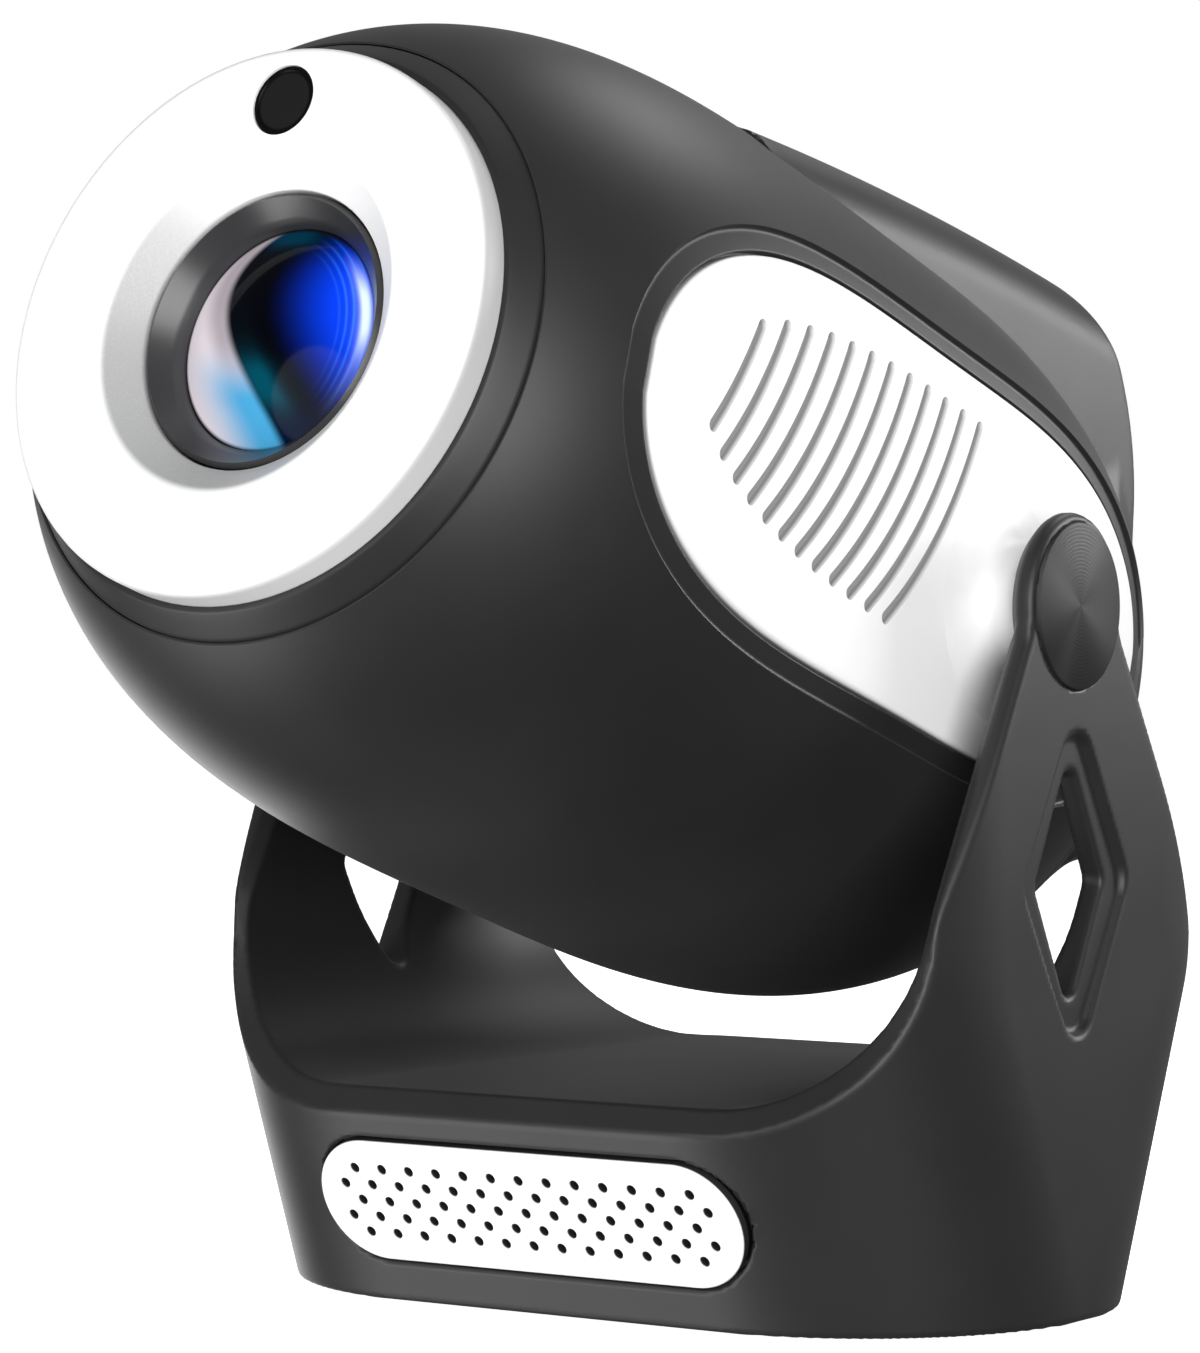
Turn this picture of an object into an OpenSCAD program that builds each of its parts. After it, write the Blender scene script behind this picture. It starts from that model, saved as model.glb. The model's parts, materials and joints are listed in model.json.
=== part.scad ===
// Tilting video projector: an egg-shaped head hung between the two arms of a flared stand.
// The stand's frame: X to the right, front towards -Y, Z up, origin at the tripod thread's mouth.
// The head is drawn in an optical frame: x right, y up from the lens axis, z ahead of the tilt axis.

/* [Head] */
// Largest radius of the egg-shaped head
girth_r = 77; // [74:0.5:80]
// How far ahead of the tilt axis the head is widest
girth_z = 25; // [20:1:30]
// Length from the widest place to where the nose would close
nose_len = 140; // [134:1:146]
// Bluntness of the nose
nose_pow = 3.9; // [3.5:0.1:4.5]
// Length from the widest place to where the tail would close
tail_len = 128.5; // [124:0.5:134]
// Bluntness of the tail
tail_pow = 3.3; // [3:0.1:3.8]
// Wall of the moulded shells
shell_wall = 3; // [2.4:0.1:3.4]
// Height of the lens axis above the tilt axis
axis_rise = 4; // [2:0.5:6]
// Upward tilt of the head as it stands
rest_tilt = 17.3; // [5:0.1:30]
// Half width across the flattened cheeks
facet_x = 66.3; // [65:0.1:67.5]
// Radius of the slight bow along a cheek
facet_bow = 2500; // [1500:100:4000]
// Radius about the tilt axis that the tail keeps inside, to swing past the stand's floor
tail_sweep = 89; // [87:0.5:89.5]
// Place of the seam between the shell and the rear cover, behind the tilt axis
seam_z = 62; // [61:0.5:64]

/* [Rear hood] */
// Half width of the squared hood on the tail
hood_half_w = 49; // [46:0.5:52]
// Corner radius along the hood's top edges
hood_round = 14; // [11:0.5:17]
// Height of the hood's ridge above the lens axis, over the tilt axis
hood_ridge = 78.6; // [77:0.1:80]
// Slope of the hood's top ahead of the ridge
hood_front = 9.6; // [8:0.1:11]
// Slope of the hood's top behind the ridge
hood_rear = 3.2; // [2:0.1:5]
// Radius of the rounded rear
rear_r = 55; // [52:0.5:56]
// Distance of the rounded rear's centre behind the tilt axis
rear_mid_z = 27.2; // [25:0.1:28]
// Height of the rounded rear's centre above the lens axis
rear_mid_y = 30; // [28:0.5:32]

/* [Side panels] */
// Depth of the seat that a side panel sits in
panel_seat = 1.6; // [1.2:0.1:1.8]
// Height that a side panel stands proud of the cheek
panel_proud = 1.2; // [0.6:0.1:1.6]
// How much further out the panel's edge is traced than the cheek's edge
panel_trace = 2.7; // [2:0.1:3.4]
// Vent slots in each panel
slot_count = 12; // [6:1:14]
// Width of a vent slot
slot_w = 1.4; // [1:0.1:2]
// Step from slot to slot
slot_pitch = 6.7; // [5:0.1:7]
// Radius of a slot's arc
slot_arc = 93; // [70:1:120]

/* [Front and lens] */
// Radius of the white front disc
bezel_r = 50; // [48:0.5:51]
// Height of the front disc above the end of the shell
bezel_proud = 11.3; // [9:0.1:13]
// Radius of the dark trim ring's outer edge
trim_r = 54.8; // [53.6:0.1:56]
// Outer radius of the conical recess round the lens
recess_r = 31.6; // [30.5:0.1:33]
// Radius of the moving lens cell
cell_r = 25.2; // [24.4:0.1:25.6]
// Radius of the front lens glass
glass_r = 20.5; // [19:0.1:21]
// Focus travel each way
focus_travel = 2; // [1:0.1:2.5]
// Radius of the sensor window
sensor_r = 6.4; // [5:0.1:6.6]
// Height of the sensor window above the lens axis
sensor_y = 39.9; // [39.6:0.1:40.2]

/* [Light engine] */
// Half width inside the optics housing
optic_half_w = 50; // [44:0.5:51]
// Half height inside the optics housing
optic_half_h = 31; // [28:0.5:33]
// Length of the optics housing's box
optic_len = 60; // [56:1:64]
// Side of the square cooling fan
fan_side = 58; // [54:1:60]
// Depth of the fan
fan_deep = 15; // [12:0.5:18]
// Height of the fan's axis above the lens axis
fan_y = 18; // [16:0.5:20]
// Blades on the fan
blade_count = 7; // [5:1:9]
// Height of the heat sink's fins
fin_deep = 25; // [18:1:28]
// Fins on the heat sink
fin_count = 13; // [8:1:16]

/* [Stand] */
// Height of the tilt axis above the stand's bottom edge
pivot_h = 133.4; // [132.5:0.1:136]
// Half width of the stand at its bottom edge
foot_half_w = 86; // [84:0.5:90]
// Half depth of the stand at its bottom edge
foot_half_d = 50.8; // [50.2:0.1:56]
// Thickness of an arm above the corners of the floor
arm_wall = 6.5; // [5.5:0.1:8]
// Depth of the stand's shoulder ahead of the tilt axis
shoulder_front = 77.4; // [75:0.5:80]
// Depth of the stand's shoulder behind the tilt axis
shoulder_rear = 84; // [80:0.5:86]
// Height of the shoulder where the flare ends and the arms begin to taper
shoulder_h = 65; // [60:0.5:68]
// Radius of the stand's upright corners
corner_r = 50; // [40:0.5:50]
// Half depth of an arm where it leaves the shoulder
arm_root_d = 57.5; // [54:0.5:58.5]
// Radius of an arm's round top
arm_top_r = 17.5; // [16.8:0.1:19]
// Height of the floor between the arms
floor_h = 42.5; // [41:0.1:43]
// Radius of the floor's corners
floor_round = 31; // [26:0.5:33]
// Room between a cheek of the head and an arm above the corners of the floor
gap_room = 11.2; // [10.5:0.1:12]
// How much further apart the arms are at the tilt axis
gap_draft = 0.7; // [0.4:0.1:1]
// Wall of the stand round its hollow base
base_wall = 3.2; // [2.6:0.1:4]
// Bevel along the floor's front and rear edges
floor_bevel = 5; // [3:0.1:6]
// Height of the diamond window's middle
window_h = 81.5; // [79:0.5:84]
// Half height of the diamond window
window_half_h = 21; // [18:0.5:22]
// Half width of the diamond window
window_half_w = 13; // [11:0.5:14]
// Margin of the sunk border round the window
window_border = 7; // [5:0.1:8]
// Depth of the sunk border
window_sink = 1.6; // [1:0.1:2]

/* [Tilt hinge] */
// Radius of the hinge shaft
shaft_r = 5; // [4:0.1:5.5]
// Running clearance of the shaft in its arm
shaft_fit = 0.06; // [0.03:0.01:0.09]
// Radius of the round cap over an arm's hinge
cap_r = 15.6; // [14.6:0.1:15.8]
// Height that a cap stands proud of its arm
cap_proud = 1.4; // [0.8:0.1:2]

/* [Speaker grille] */
// Half length of the grille plate
grille_half_l = 47.7; // [44:0.1:50]
// Radius of the grille plate's round ends
grille_r = 12.75; // [11:0.05:14]
// Distance of the grille's middle up the front face
grille_up = 22; // [21:0.1:24]
// Step between holes in a row
hole_pitch = 6.34; // [5.8:0.01:6.4]
// Step between rows
row_pitch = 3.43; // [3:0.01:3.6]
// Radius of a hole
hole_r = 1.1; // [0.8:0.05:1.3]
// Holes in a long row
hole_count = 14; // [10:1:14]

/* [Hidden] */
$fn = 96;

// Shared clearances
eps = 0.01;
slip = 0.15;
part_gap = 0.3;
far = 300;

// Colours of the pieces
black = "#2b2b2d";
white = "#f2f2f2";
steel = "#b8babd";
brass = "#c9a24a";
glass = "#8fa9c8";
green = "#1f5a36";

// The head's outline: radius at a place along the lens axis
function egg_s(z) = z >= girth_z ? (z - girth_z) / nose_len : (girth_z - z) / tail_len;
function egg_raw(z) = girth_r * sqrt(max(0, 1 - pow(egg_s(z), z >= girth_z ? nose_pow : tail_pow)));
function egg_r(z) = egg_raw(z) > girth_r - 0.3 ? girth_r : egg_raw(z);
function nose_at(r) = girth_z + nose_len * pow(1 - pow(r / girth_r, 2), 1 / nose_pow);
function tail_at(r) = girth_z - tail_len * pow(1 - pow(r / girth_r, 2), 1 / tail_pow);
function facet_at(z) = facet_x - pow(z - girth_z, 2) / (2 * facet_bow);

egg_steps = 36;
cheek_steps = 20;
nose_z = nose_at(trim_r + 0.6);
seat_z = nose_z - 3;
face_z = nose_z + bezel_proud;
bezel_skin = 2.5;
hub_bore = cell_r + 0.45;
hub_wall = 2.6;
hub_z = face_z - 6.1;
seat_hole_r = bezel_r - 6;

// Light engine stations along the lens axis
wall_t = 2.5;
deck_t = 4;
neck_r = 34;
neck_len = 15;
tube_fit = 0.08;
tube_r = cell_r + tube_fit + 3.4;
tube_z = optic_len + wall_t + neck_len;
cell_back = tube_z + 6;
led_t = 2;
sink_t = 5;
fan_z = -deck_t - led_t - sink_t - fin_deep;
fan_back = fan_z - fan_deep;
board_y = -24;
board_t = 1.6;
board_half_w = 42;
board_back = -76.5;
port_top = 8;

// Focus drive
screw_r = 2;
screw_y = tube_r + 7;
lug_z = tube_z + 22;
lug_deep = 8;
bracket_t = 2;
bracket_back = lug_z - lug_deep / 2 - focus_travel - 4 - bracket_t;
bracket_front = lug_z + lug_deep / 2 + focus_travel + 4;
motor_r = 6;
motor_len = 11;

// Tilt hinge stations along X
flange_r = 12;
flange_t = 3;
gap_half_w = facet_x + gap_room;
gap_pivot_w = gap_half_w + gap_draft;
arm_half_w = gap_half_w + arm_wall;
boss_x = facet_x - shell_wall - 2;
panel_x = facet_x + panel_proud;
nut_r = 7.5;
nut_t = 1.6;
pocket_r = nut_r + 1;
cap_t = 2;
cap_back = arm_half_w + cap_proud - cap_t;
pocket_x = cap_back - nut_t - 2 * part_gap;
washer_r = 11;
washer_t = 1.2;
washer_x = gap_at(pivot_h - washer_r) - part_gap - washer_t;
collar_r = 11.5;
collar_root = 16;

// Stand
lean = atan((shoulder_front - foot_half_d) / shoulder_h);
rear_flare = atan((shoulder_rear - foot_half_d) / shoulder_h);
plate_t = 2.5;
boss_r = 4;
screw_x = 44;
screw_yy = 33;
foot_x = 57;
foot_y = 24;
foot_r = 7;
foot_proud = 1.2;
insert_r = 6;
thread_r = 3.175;
insert_len = 9;
grille_t = 2;
grille_seat = 1.6;
grille_rim = 2.2;
face_wall = base_wall * cos(lean);
driver_x = 24;
driver_r = 14.5;
magnet_r = 9;

// Optical frame to stand frame
module in_head() {
  translate([0, 0, pivot_h]) rotate([-rest_tilt, 0, 0]) translate([0, 0, axis_rise])
    rotate([90, 0, 0]) children();
}

// Front face of the stand: x right, y up the face from its bottom edge, z outwards
module on_front_face() {
  translate([0, -foot_half_d, 0]) rotate([90 + lean, 0, 0]) children();
}

// Sunk rear panel of the head: x left, y up from the lens axis, z outwards
module on_rear_face() {
  translate([0, 0, -port_z]) rotate([180, 0, 180]) children();
}

// Cylinder along X from one place to another
module rod_x(r, x0, x1) {
  translate([x0, 0, 0]) rotate([0, 90, 0]) cylinder(r = r, h = x1 - x0);
}

// Tilt axis in the optical frame
module at_pivot() {
  translate([0, -axis_rise, 0]) children();
}

// Block centred on x, from low y to high y and low z to high z
module block(half_w, y0, y1, z0, z1) {
  translate([-half_w, y0, z0]) cube([2 * half_w, y1 - y0, z1 - z0]);
}

// Tube along z
module ring(r_out, r_in, z0, z1) {
  translate([0, 0, z0]) difference() {
    cylinder(r = r_out, h = z1 - z0);
    translate([0, 0, -1]) cylinder(r = r_in, h = z1 - z0 + 2);
  }
}

// Rounded rectangle by half sizes
module rounded_plan(w, d, r) {
  k = min(r, w - eps, d - eps);
  translate([-(w - k), -d]) square([2 * (w - k), 2 * d]);
  translate([-w, -(d - k)]) square([2 * w, 2 * (d - k)]);
  for (sx = [-1, 1], sy = [-1, 1]) translate([sx * (w - k), sy * (d - k)]) circle(r = k);
}

// Stadium by half length and end radius
module stadium(half_l, r) {
  translate([-(half_l - r), -r]) square([2 * (half_l - r), 2 * r]);
  for (sx = [-1, 1]) translate([sx * (half_l - r), 0]) circle(r = r);
}

// The egg between two places, thinned by a skin
module egg(z0, z1, skin) {
  rotate_extrude() polygon(concat([[0, z0]],
    [for (i = [0:egg_steps]) let(z = z0 + (z1 - z0) * i / egg_steps) [egg_r(z) - skin, z]], [[0, z1]]));
}

// Everything between the two cheeks, thinned by a skin
module cheeks(skin) {
  at = [for (i = [0:cheek_steps]) -110 + 280 * i / cheek_steps];
  rotate([90, 0, 0]) translate([0, 0, -far / 2]) linear_extrude(far) polygon(concat(
    [for (i = [0:cheek_steps]) [facet_at(at[i]) - skin, at[i]]],
    [for (i = [cheek_steps:-1:0]) [skin - facet_at(at[i]), at[i]]]));
}

// Everything that the tail may fill: inside its rounded rear and its swing past the stand's floor
module tail_room(skin) {
  translate([-far / 2, -far / 2, -rear_mid_z]) cube([far, far, far]);
  translate([0, rear_mid_y, -rear_mid_z]) rod_x(rear_r - skin, -far / 2, far / 2);
  at_pivot() rod_x(tail_sweep - skin, -far / 2, far / 2);
}

// Squared hood that grows out of the top of the tail: under a steep front slope and a flat rear one
module hood_slope(turn, half_w, skin) {
  deep = 80;
  translate([0, hood_ridge - skin, 0]) rotate([turn, 0, 0]) translate([0, -deep, -far / 2])
    linear_extrude(far) rounded_plan(half_w - skin, deep, hood_round);
}
module hood_bar(skin) {
  intersection() {
    hood_slope(hood_front, hood_half_w + 0.4, skin);
    hood_slope(hood_rear, hood_half_w, skin);
    translate([-far / 2, skin - hood_low, -far / 2]) cube([far, far, far / 2 + hood_end]);
  }
}

// Outline of a side panel in the plane of the cheek, traced further out by a margin
panel_steps = 40;
function panel_x_at(z, m) = facet_at(z) + m;
function panel_half_h(z, m) = sqrt(max(0, pow(egg_r(z), 2) - pow(panel_x_at(z, m), 2)));
function panel_tip(m) = nose_at(facet_at(nose_at(facet_x + m)) + m);
function panel_end(m) = tail_at(facet_at(tail_at(facet_x + m)) + m);
function panel_z(i, m) = panel_end(m)
  + (panel_tip(m) - panel_end(m)) * (1 - cos(180 * i / panel_steps)) / 2;
module panel_outline(m) {
  polygon(concat([for (i = [0:panel_steps]) [panel_z(i, m), panel_half_h(panel_z(i, m), m)]],
    [for (i = [panel_steps - 1:-1:1]) [panel_z(i, m), -panel_half_h(panel_z(i, m), m)]]));
}

// Stand a (z, y) drawing up on the right cheek, from one x to another
module on_cheek(x0, x1) {
  translate([x0, 0, 0]) rotate([0, 90, 0]) mirror([1, 0, 0]) linear_extrude(x1 - x0) children();
}

// Vent slots of a right panel: like arcs set side by side, cut off by an oval field
slot_top = [17.2, 26.8];
slot_foot = [40.5, -19.6];
field_mid = [30, 3.6];
field_half = [76, 23.3];
field_pow = 2.4;
function field_pt(a) = [
  field_mid[0] + field_half[0] * sign(cos(a)) * pow(abs(cos(a)), 2 / field_pow),
  field_mid[1] + field_half[1] * sign(sin(a)) * pow(abs(sin(a)), 2 / field_pow)];
module slot_cut(x0, x1) {
  run = slot_foot - slot_top;
  mid = (slot_foot + slot_top) / 2;
  away = sqrt(slot_arc * slot_arc - run * run / 4);
  hub = mid + away * [-run[1], run[0]] / norm(run);
  intersection() {
    union() for (k = [0:slot_count - 1]) translate([0, hub[1], hub[0] + k * slot_pitch]) rotate([0, 90, 0])
      ring(slot_arc + slot_w / 2, slot_arc - slot_w / 2, x0, x1);
    on_cheek(x0, x1) polygon([for (a = [0:6:354]) field_pt(a)]);
  }
}

// Space between the arms, drawn across the stand: x and height above the bottom edge
function gap_at(z) = gap_half_w + gap_draft * (z - floor_h - floor_round) / (pivot_h - floor_h - floor_round);
module gap_plan(floor_at, grow) {
  mid = gap_half_w - floor_round;
  top_w = gap_at(far);
  low = floor_at + floor_round;
  translate([-mid, floor_at - grow]) square([2 * mid, floor_round + grow]);
  for (sx = [-1, 1]) translate([sx * mid, low]) circle(r = floor_round + grow);
  polygon([[-gap_half_w - grow, low], [gap_half_w + grow, low], [top_w + grow, far], [-top_w - grow, far]]);
}

// Side view of the arms: y and height
module arm_side() {
  neck = 14;
  tx = arm_top_r * cos(neck);
  tz = pivot_h - arm_top_r * sin(neck);
  polygon([[-arm_root_d, shoulder_h], [arm_root_d, shoulder_h], [tx, tz], [-tx, tz]]);
  translate([0, pivot_h]) circle(r = arm_top_r);
}

// Diamond with round tips, as y and height
module diamond(grow) {
  tip = 3 + grow * 0.45;
  h = window_half_h + grow;
  w = window_half_w + grow;
  k = w / h;
  flat = h - tip - 1;
  polygon([[0, flat], [w, 0], [0, -flat], [-w, 0]]);
  for (s = [-1, 1]) translate([0, s * (h - tip)]) circle(r = tip);
  polygon([[-tip * 0.94, h - tip * 0.7], [tip * 0.94, h - tip * 0.7], [w, 0], [tip * 0.94, -h + tip * 0.7],
    [-tip * 0.94, -h + tip * 0.7], [-w, 0]]);
}

// Stand a (y, height) drawing across the stand from one x to another
module across(x0, x1) {
  translate([x0, 0, 0]) rotate([90, 0, 90]) linear_extrude(x1 - x0) children();
}

// Plan of the stand by half sizes: its round corners as short straight sides
corner_sides = 24;
function plan_points(w, d, r) = [for (q = [0:3], i = [0:corner_sides])
  let(a = 90 * (q + i / corner_sides), sx = q == 0 || q == 3 ? 1 : -1, sy = q < 2 ? 1 : -1)
    [sx * (w - r) + r * cos(a), sy * (d - r) + r * sin(a)]];

// Flared part of the stand between two heights, thinned by an inset
module flare(inset, z0, z1) {
  slab = 0.0625;
  hull() for (level = [[z0, 0], [z1, slab]]) {
    z = level[0];
    front = foot_half_d + (shoulder_front - foot_half_d) * z / shoulder_h;
    rear = foot_half_d + (shoulder_rear - foot_half_d) * z / shoulder_h;
    wide = foot_half_w + (arm_half_w - foot_half_w) * z / shoulder_h;
    translate([0, (rear - front) / 2, z - level[1]]) linear_extrude(slab)
      polygon(plan_points(wide - inset, (front + rear) / 2 - inset, corner_r - inset));
  }
}

module screw_bosses() {
  for (sx = [-1, 1], sy = [-1, 1]) translate([sx * screw_x, sy * screw_yy, plate_t])
    cylinder(r = boss_r, h = floor_h - base_wall - plate_t + 1);
}

module bevel_cut(tip) {
  hull() for (s = [0, 1]) translate([0, -foot_half_d, 0]) rotate([90 + tip, 0, 0])
    translate([0, 0, s * (floor_bevel + 0.1) - floor_bevel]) linear_extrude(0.02)
      gap_plan((floor_h - (1 - s) * floor_bevel * sin(tip)) / cos(tip), s * floor_bevel, $fn = 64);
}

// Stand's one-piece frame: hollow flared base and two arms
module yoke_frame() color(black) difference() {
  union() {
    difference() {
      union() {
        flare(0, 0, shoulder_h);
        intersection() {
          across(-arm_half_w, arm_half_w) arm_side();
          translate([0, (shoulder_rear - shoulder_front) / 2, 0]) linear_extrude(far)
            polygon(plan_points(arm_half_w, (shoulder_front + shoulder_rear) / 2, corner_r));
        }
      }
      flare(base_wall, -1, floor_h - base_wall);
    }
    screw_bosses();
  }
  rotate([90, 0, 0]) translate([0, 0, -far / 2]) linear_extrude(far) gap_plan(floor_h, 0);
  bevel_cut(lean);
  rotate([0, 0, 180]) bevel_cut(rear_flare);
  for (sx = [-1, 1], sy = [-1, 1]) translate([sx * screw_x, sy * screw_yy, plate_t - 1])
    cylinder(r = 1.25, h = 13);
  on_front_face() translate([0, grille_up, -grille_seat])
    linear_extrude(far) stadium(grille_half_l + slip, grille_r + slip);
  on_front_face() translate([0, grille_up, -face_wall - 2])
    linear_extrude(far) stadium(grille_half_l - grille_rim, grille_r - grille_rim);
  across(-far / 2, far / 2) translate([0, window_h]) diamond(0);
  for (sx = [0, 1]) mirror([sx, 0, 0]) {
    across(arm_half_w - window_sink, far) translate([0, window_h]) diamond(window_border);
    translate([0, 0, pivot_h]) {
      rod_x(shaft_r + shaft_fit, gap_half_w - 4, far / 2);
      rod_x(pocket_r, pocket_x, far / 2);
      rod_x(cap_r + slip, cap_back, far / 2);
    }
  }
}

module base_plate() color(black) difference() {
  linear_extrude(plate_t) rounded_plan(foot_half_w - base_wall - part_gap,
    foot_half_d - base_wall - part_gap,
    corner_r - base_wall - part_gap);
  translate([0, 0, -1]) cylinder(r = insert_r, h = plate_t + 2);
  for (sx = [-1, 1], sy = [-1, 1]) {
    translate([sx * screw_x, sy * screw_yy, -1]) cylinder(r = 1.5, h = plate_t + 2);
    translate([sx * screw_x, sy * screw_yy, -1]) cylinder(r = 3.1, h = 2.3);
    translate([sx * foot_x, sy * foot_y, -1]) cylinder(r = foot_r + slip, h = 1.6);
  }
}

module rubber_feet() color(black) for (sx = [-1, 1], sy = [-1, 1])
  translate([sx * foot_x, sy * foot_y, -foot_proud])
  rotate_extrude() polygon([[0, 0], [foot_r - 0.5, 0], [foot_r, 0.5], [foot_r, foot_proud + 0.6],
    [0, foot_proud + 0.6]]);

module base_screws() color(steel) for (sx = [-1, 1], sy = [-1, 1])
  translate([sx * screw_x, sy * screw_yy, 0]) {
  cylinder(r = 2.9, h = 1.3);
  translate([0, 0, 1.2]) cylinder(r = 1.2, h = 10);
}

module tripod_insert() color(brass) difference() {
  union() {
    cylinder(r = insert_r, h = insert_len);
    translate([0, 0, plate_t]) cylinder(r = insert_r + 2, h = 2);
  }
  translate([0, 0, -1]) cylinder(r = thread_r, h = insert_len + 2);
}

module grille_holes() {
  for (row = [-2:2]) {
    n = hole_count - (row % 2 == 0 ? 1 : 0);
    for (k = [0:n - 1]) translate([(k - (n - 1) / 2) * hole_pitch, row * row_pitch, -1])
      cylinder(r = hole_r, h = 9, $fn = 24);
  }
}

module speaker_grille() color(white) on_front_face() translate([0, grille_up, -grille_seat]) difference() {
  linear_extrude(grille_t) stadium(grille_half_l, grille_r);
  grille_holes();
}

module grille_cloth() color(black) on_front_face() translate([0, grille_up, -grille_seat - 0.6])
  linear_extrude(0.6) stadium(grille_half_l - grille_rim - slip, grille_r - grille_rim - slip);

module speaker_frames() color(black) for (sx = [-1, 1]) on_front_face()
  translate([sx * driver_x, grille_up, 0])
  rotate_extrude() polygon([[driver_r - 2, -face_wall], [driver_r, -face_wall], [driver_r, -face_wall - 2],
    [magnet_r + 1, -face_wall - 8], [magnet_r - 4, -face_wall - 8], [magnet_r - 4, -face_wall - 6.6],
    [magnet_r, -face_wall - 6.6], [driver_r - 2, -face_wall - 2.2]]);

module speaker_cones() color("#3a3a3a") for (sx = [-1, 1]) on_front_face()
  translate([sx * driver_x, grille_up, -face_wall])
  rotate_extrude() polygon([[0, -2.4], [3, -2.9], [8, -1.9], [10, -0.9], [driver_r - 2.2, -0.9],
    [driver_r - 2.2, -1.7],
    [10, -1.7], [8, -2.7], [4.6, -3.9], [4.6, -6.2], [3.9, -6.2], [3.9, -3.6], [0, -3.2]]);

module speaker_magnets() color(steel) for (sx = [-1, 1]) on_front_face()
  translate([sx * driver_x, grille_up, -face_wall - 15])
  cylinder(r = magnet_r, h = 7);

module arm_cap(side) {
  translate([0, 0, pivot_h]) mirror([side < 0 ? 1 : 0, 0, 0]) translate([cap_back, 0, 0]) rotate([0, 90, 0])
    rotate_extrude() polygon([[0, 0], [cap_r, 0], [cap_r, cap_t - 0.6], [cap_r - 0.6, cap_t], [0, cap_t]]);
}
module arm_cap_left() color(black) arm_cap(-1);
module arm_cap_right() color(black) arm_cap(1);

// Egg-shaped main shell with flattened cheeks, open at the nose and at the seam
module head_shell() color(black) in_head() difference() {
  union() {
    difference() {
      intersection() {
        egg(-seam_z, nose_z, 0);
        cheeks(0);
      }
      intersection() {
        egg(-seam_z - 1, nose_z + 1, shell_wall);
        cheeks(shell_wall);
      }
    }
    intersection() {
      ring(egg_r(seat_z - 3) - 1, seat_hole_r, seat_z - 3, seat_z);
      cheeks(0);
    }
    for (sx = [-1, 1]) at_pivot() mirror([sx < 0 ? 1 : 0, 0, 0]) rod_x(flange_r + 2, boss_x, facet_x - 2);
  }
  translate([0, 0, seat_z]) cylinder(r = trim_r + slip, h = far);
  for (sx = [0, 1]) mirror([sx, 0, 0]) {
    on_cheek(facet_x - panel_seat, far / 2) panel_outline(panel_trace - 0.1);
    at_pivot() rod_x(shaft_r + slip, boss_x - 1, far / 2);
    for (k = [0:3]) translate([0, -12, 30 + k * 16]) cube([far / 2, 30, 9]);
  }
}

// Rear cover: closed tail with the hood, its vents and a sunk panel for the sockets
vent_count = 8;
vent_pitch = 6;
hood_low = 31;
hood_end = 70;
port_z = 84;
port_half_w = 47;
port_low = 28;
port_high = 9;
module rear_hull() {
  difference() {
    intersection() {
      union() {
        intersection() {
          egg(-100, -seam_z, 0);
          cheeks(0);
        }
        difference() {
          hood_bar(0);
          egg(-seam_z, nose_z, 0);
        }
      }
      tail_room(0);
    }
    intersection() {
      union() {
        intersection() {
          egg(-99, -seam_z + 1, shell_wall);
          cheeks(shell_wall);
        }
        hood_bar(shell_wall);
      }
      tail_room(shell_wall);
    }
  }
}
module rear_cover() color(black) in_head() difference() {
  union() {
    rear_hull();
    block(port_half_w + 1, -port_low - 1, -port_high + 1, -port_z, -port_z + shell_wall);
  }
  block(port_half_w, -port_low, -port_high, -far, -port_z);
  for (k = [0:vent_count - 1]) translate([0, 2 + k * vent_pitch, -far]) linear_extrude(far - 75)
    stadium(33, 1.5);
  on_rear_face() translate([button_x, button_y, -10]) cylinder(r = button_r + part_gap, h = 20);
  for (p = ports) translate([p[0], board_y + board_t + p[2] / 2, 0])
    block(p[1] / 2 + part_gap, -p[2] / 2 - part_gap,
    p[2] / 2 + part_gap, -far, -port_z + 5);
  for (s = cover_screw_at) at_screw(s) {
    translate([0, 0, -10]) cylinder(r = 1.5, h = 20);
    translate([0, 0, -1.6]) cylinder(r = 2.9, h = 10);
  }
}

// Sockets along the rear edge of the board: x, width, height
ports = [[-27, 15, 6.2], [-7, 13.2, 7], [9, 7, 6], [24, 10, 9]];
port_deep = 13;
port_back = -82.6;
button_x = -38.5;
button_y = -19.5;
button_r = 4.4;
button_travel = 0.8;

module socket_at(p) {
  translate([p[0], board_y + board_t, port_back]) children();
}

module hdmi_socket() color(steel) in_head() socket_at(ports[0]) difference() {
  block(ports[0][1] / 2, 0, ports[0][2], 0, port_deep);
  difference() {
    block(ports[0][1] / 2 - 0.6, 0.6, ports[0][2] - 0.6, -1, port_deep - 1.5);
    block(ports[0][1] / 2 - 2, ports[0][2] / 2 - 0.6, ports[0][2] / 2 + 0.6, 1.5, port_deep);
  }
}

module usb_socket() color(steel) in_head() socket_at(ports[1]) difference() {
  block(ports[1][1] / 2, 0, ports[1][2], 0, port_deep);
  difference() {
    block(ports[1][1] / 2 - 0.6, 0.6, ports[1][2] - 0.6, -1, port_deep - 1.5);
    block(ports[1][1] / 2 - 1.4, ports[1][2] / 2 - 0.9, ports[1][2] / 2 + 0.9, 1.5, port_deep);
  }
}

module audio_jack() color(black) in_head() socket_at(ports[2]) difference() {
  block(ports[2][1] / 2, 0, ports[2][2], 0, port_deep);
  translate([0, ports[2][2] / 2, -1]) cylinder(r = 1.8, h = port_deep - 1);
}

module dc_jack() color(black) in_head() socket_at(ports[3]) {
  difference() {
    block(ports[3][1] / 2, 0, ports[3][2], 0, port_deep);
    translate([0, ports[3][2] / 2, -1]) cylinder(r = 2.9, h = port_deep - 1.5);
  }
  translate([0, ports[3][2] / 2, 1]) cylinder(r = 1, h = port_deep - 2);
}

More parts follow.
